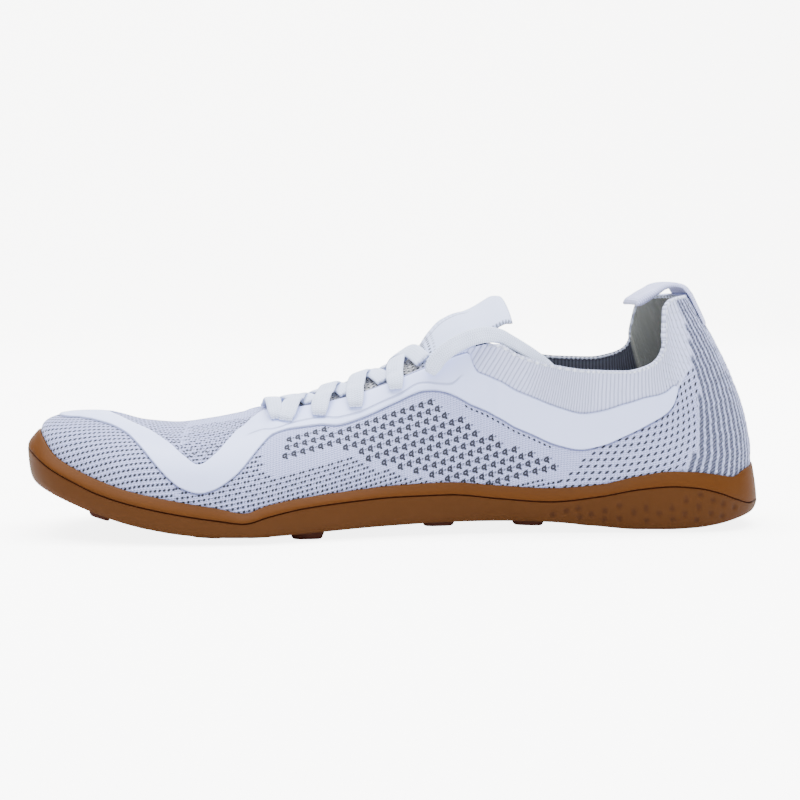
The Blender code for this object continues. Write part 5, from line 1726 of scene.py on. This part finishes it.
STRIP_WIDTHS = (0.74, 0.90, 0.98, 1.0)      # shares of the width at a strip's first four points
for k, (near_rise, far_rise, late, end_width) in enumerate(CROSSINGS):
    for kind, side, arch, ahead, bend in (("near", INNER, near_rise, 2.6, late),
                                          ("far", OUTER, far_rise, 1.0, 1.0)):
        line, outs = laid(lace_foot(k, side), throat_spot(k + 1, -side, ahead), arch, bend)
        widths = np.interp(np.arange(len(line)), (0, 1, 2, 3, 12, 32), STRIP_WIDTHS + (end_width, 0.98))
        made, _, _ = strip(f"lace_{kind}_{k + 1}", line, outs, lace_look, widths=widths)
        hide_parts(f"lace_cross_{k + 1}")
bar_half = float(read(RIBS, 2, 190.5)) - 1.4
bar_middle = float(read(PLAN, 3, 190.0))
line, outs = laid((192.9, lace_foot(0, INNER)[1] + 1.5), (193.7, bar_middle + bar_half), 3.4, 0.7)
bar_widths = np.interp(np.arange(len(line)), (0, 1, 3, 10, 32), (0.50, 0.70, 0.84, 0.88, 0.92))
made, _, _ = strip("lace_base_bar", line, outs, lace_look, thick=1.7, widths=bar_widths)
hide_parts("lace_cross_1")
print("lace crossings laid:", len(CROSSINGS))

# %% [markdown]
# The pull tab is a folded webbing strip up the back of the heel, over the rim and forward, where its
# free end steps down. Its weave runs across the strip.

# %% Pull tab
TAB = (                        # step, station, height of its lower face, thickness
    (0, 29.7, 91.9, 1.6),
    (1, 31.8, 93.0, 1.6),
    (2, 35.2, 93.4, 1.8),
    (3, 39.0, 92.6, 2.2),
    (4, 42.5, 90.6, 2.6),
    (5, 45.7, 88.4, 3.0),
    (6, 48.6, 86.6, 3.0),
    (7, 50.8, 85.7, 2.2),
)
TAB_FOOT = 4.6
TAB_LOW, TAB_TOP = 0.78, 0.975              # bow positions between which it lies on the heel
TAB_AIR = 0.6
TAB_COUNT = 15
tab_across = np.linspace(-TAB_FOOT, TAB_FOOT, TAB_COUNT)
tab_sides = np.where(tab_across < 0, INNER, OUTER)


def heel_point(v, off):
    """Points of the heel's outside across the tab, off the knit by some mm."""
    rows = []
    for g, side in zip(tab_across, tab_sides):
        foot = abs(g)
        here, ahead, above_it = (bow_at(f, side, q)
                                 for f, q in ((foot, v), (foot + 0.2, v), (foot, v + 0.01)))
        n = unit(np.cross(above_it - here, ahead - here)) * side
        if n[0] > 0:
            n = -n
        rows.append(here + n * off)
    return np.array(rows)


print("pull tab across:", 2 * TAB_FOOT, "mm")

# %% [markdown]
# Rows of points run up the heel and along the table's line; the strip is thin at its lower end, rounded
# at its edges and has a lip at its free end.

# %% Webbing of the pull tab
tab_low, tab_high = [], []
for v in np.linspace(TAB_LOW, TAB_TOP, 14):
    rise = (v - TAB_LOW) / (TAB_TOP - TAB_LOW)
    tab_low.append(heel_point(v, 0.2 + (TAB_AIR - 0.2) * rise))
    tab_high.append(heel_point(v, 0.9 + 1.3 * rise))
tab_steps = np.linspace(0, 7, 29)
tab_line = np.stack([read(TAB, 1, tab_steps), read(TAB, 2, tab_steps)], axis=1)
tab_way = unit(np.gradient(tab_line, axis=0))
rim_back = float(bow_at(0.0, OUTER, 1.0)[0])
for i, step in enumerate(tab_steps):
    thick = float(read(TAB, 3, step))
    low_row, high_row = [], []
    for g, side in zip(tab_across, tab_sides):
        top = bow_at(abs(g), side, 1.0)
        ahead = (float(top[0]) - rim_back) * max(0.0, 1 - step / 4)
        sag = 0.4 * (g / TAB_FOOT)**2
        low_row.append([tab_line[i, 0] + ahead, top[1], tab_line[i, 1] - sag])
        high_row.append([tab_line[i, 0] + ahead - tab_way[i, 1] * thick, top[1],
                         tab_line[i, 1] - sag + tab_way[i, 0] * thick])
    tab_low.append(low_row)
    tab_high.append(high_row)
tab_low, tab_high = np.array(tab_low), np.array(tab_high)
tab_middle, tab_half = (tab_low + tab_high) / 2, (tab_high - tab_low) / 2
edge_share = np.sqrt(np.clip(1 - np.abs(np.linspace(-1, 1, TAB_COUNT))**10, 0.0, 1))
end_rows = np.arange(len(tab_low))
end_share = np.clip((np.minimum(end_rows, end_rows[::-1]) + 0.4) / 2.0, 0, 1)**0.5
tab_half = tab_half * (0.25 + 0.75 * edge_share[None, :, None]) * (0.3 + 0.7 * end_share[:, None, None])
tab_rings = np.concatenate([tab_middle + tab_half, (tab_middle - tab_half)[:, ::-1]], axis=1)
tab_along = way_along(tab_middle[:, TAB_COUNT // 2])
tab_over = np.concatenate([tab_across, tab_across[::-1]]) * 2.4 + 20
tab_look = woven_material("tab_webbing", rgb(196, 200, 240), rgb(128, 132, 180), 0.9, 0.7, 0.6, 0.7)
ring_size = 2 * TAB_COUNT
tab_faces = tube_faces(len(tab_low), ring_size)
pull_tab = make_mesh("pull_tab", world(tab_rings).reshape(-1, 3), tab_faces, [tab_look],
                     {"along": np.repeat(tab_along, ring_size), "over": np.tile(tab_over, len(tab_low))},
                     sharp=60)
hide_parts("heel_pull_tab")
print("pull tab:", len(pull_tab.data.polygons), "faces")

# %% [markdown]
# A thin removable bed lies in the cup. It is seen only from above, through the collar.

# %% Insole
INSOLE_SET_IN = 6.0
INSOLE_THICK = 2.5
insole_feet = spread((0, 20, 1.0), (20, 265, 4.0), (265, 285, 1.0))
insole_rows = []
for station in insole_feet[1:-1]:
    set_in = float(read(SIDE, SET_IN, station)) + INSOLE_SET_IN
    inner, outer = (np.array(plan_inset(station, side, set_in)[:2]) for side in (INNER, OUTER))
    insole_rows.append([inner * (1 - c) + outer * c for c in np.linspace(0, 1, 13)])
insole_plan = np.array(insole_rows, dtype=float)
insole_floor = bed_height(insole_plan[..., 0])[..., None] + 0.35
insole_low = np.concatenate([insole_plan, insole_floor], axis=-1)
insole_high = np.concatenate([insole_plan, insole_floor + INSOLE_THICK], axis=-1)
insole_look, t, insole_shader = new_material("insole_cloth", 0.9, sheen=0.2)
tone = mix_colour(t, noise(t, 1800.0), rgb(120, 122, 130), rgb(168, 170, 178))
t.links.new(tone, insole_shader.inputs["Base Color"])
_, insole_faces = shell_faces(*insole_plan.shape[:2])
insole = make_mesh("insole_bed", world(two_faces(insole_low, insole_high)), insole_faces, [insole_look])
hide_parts("insole")
print("insole:", len(insole.data.polygons), "faces")
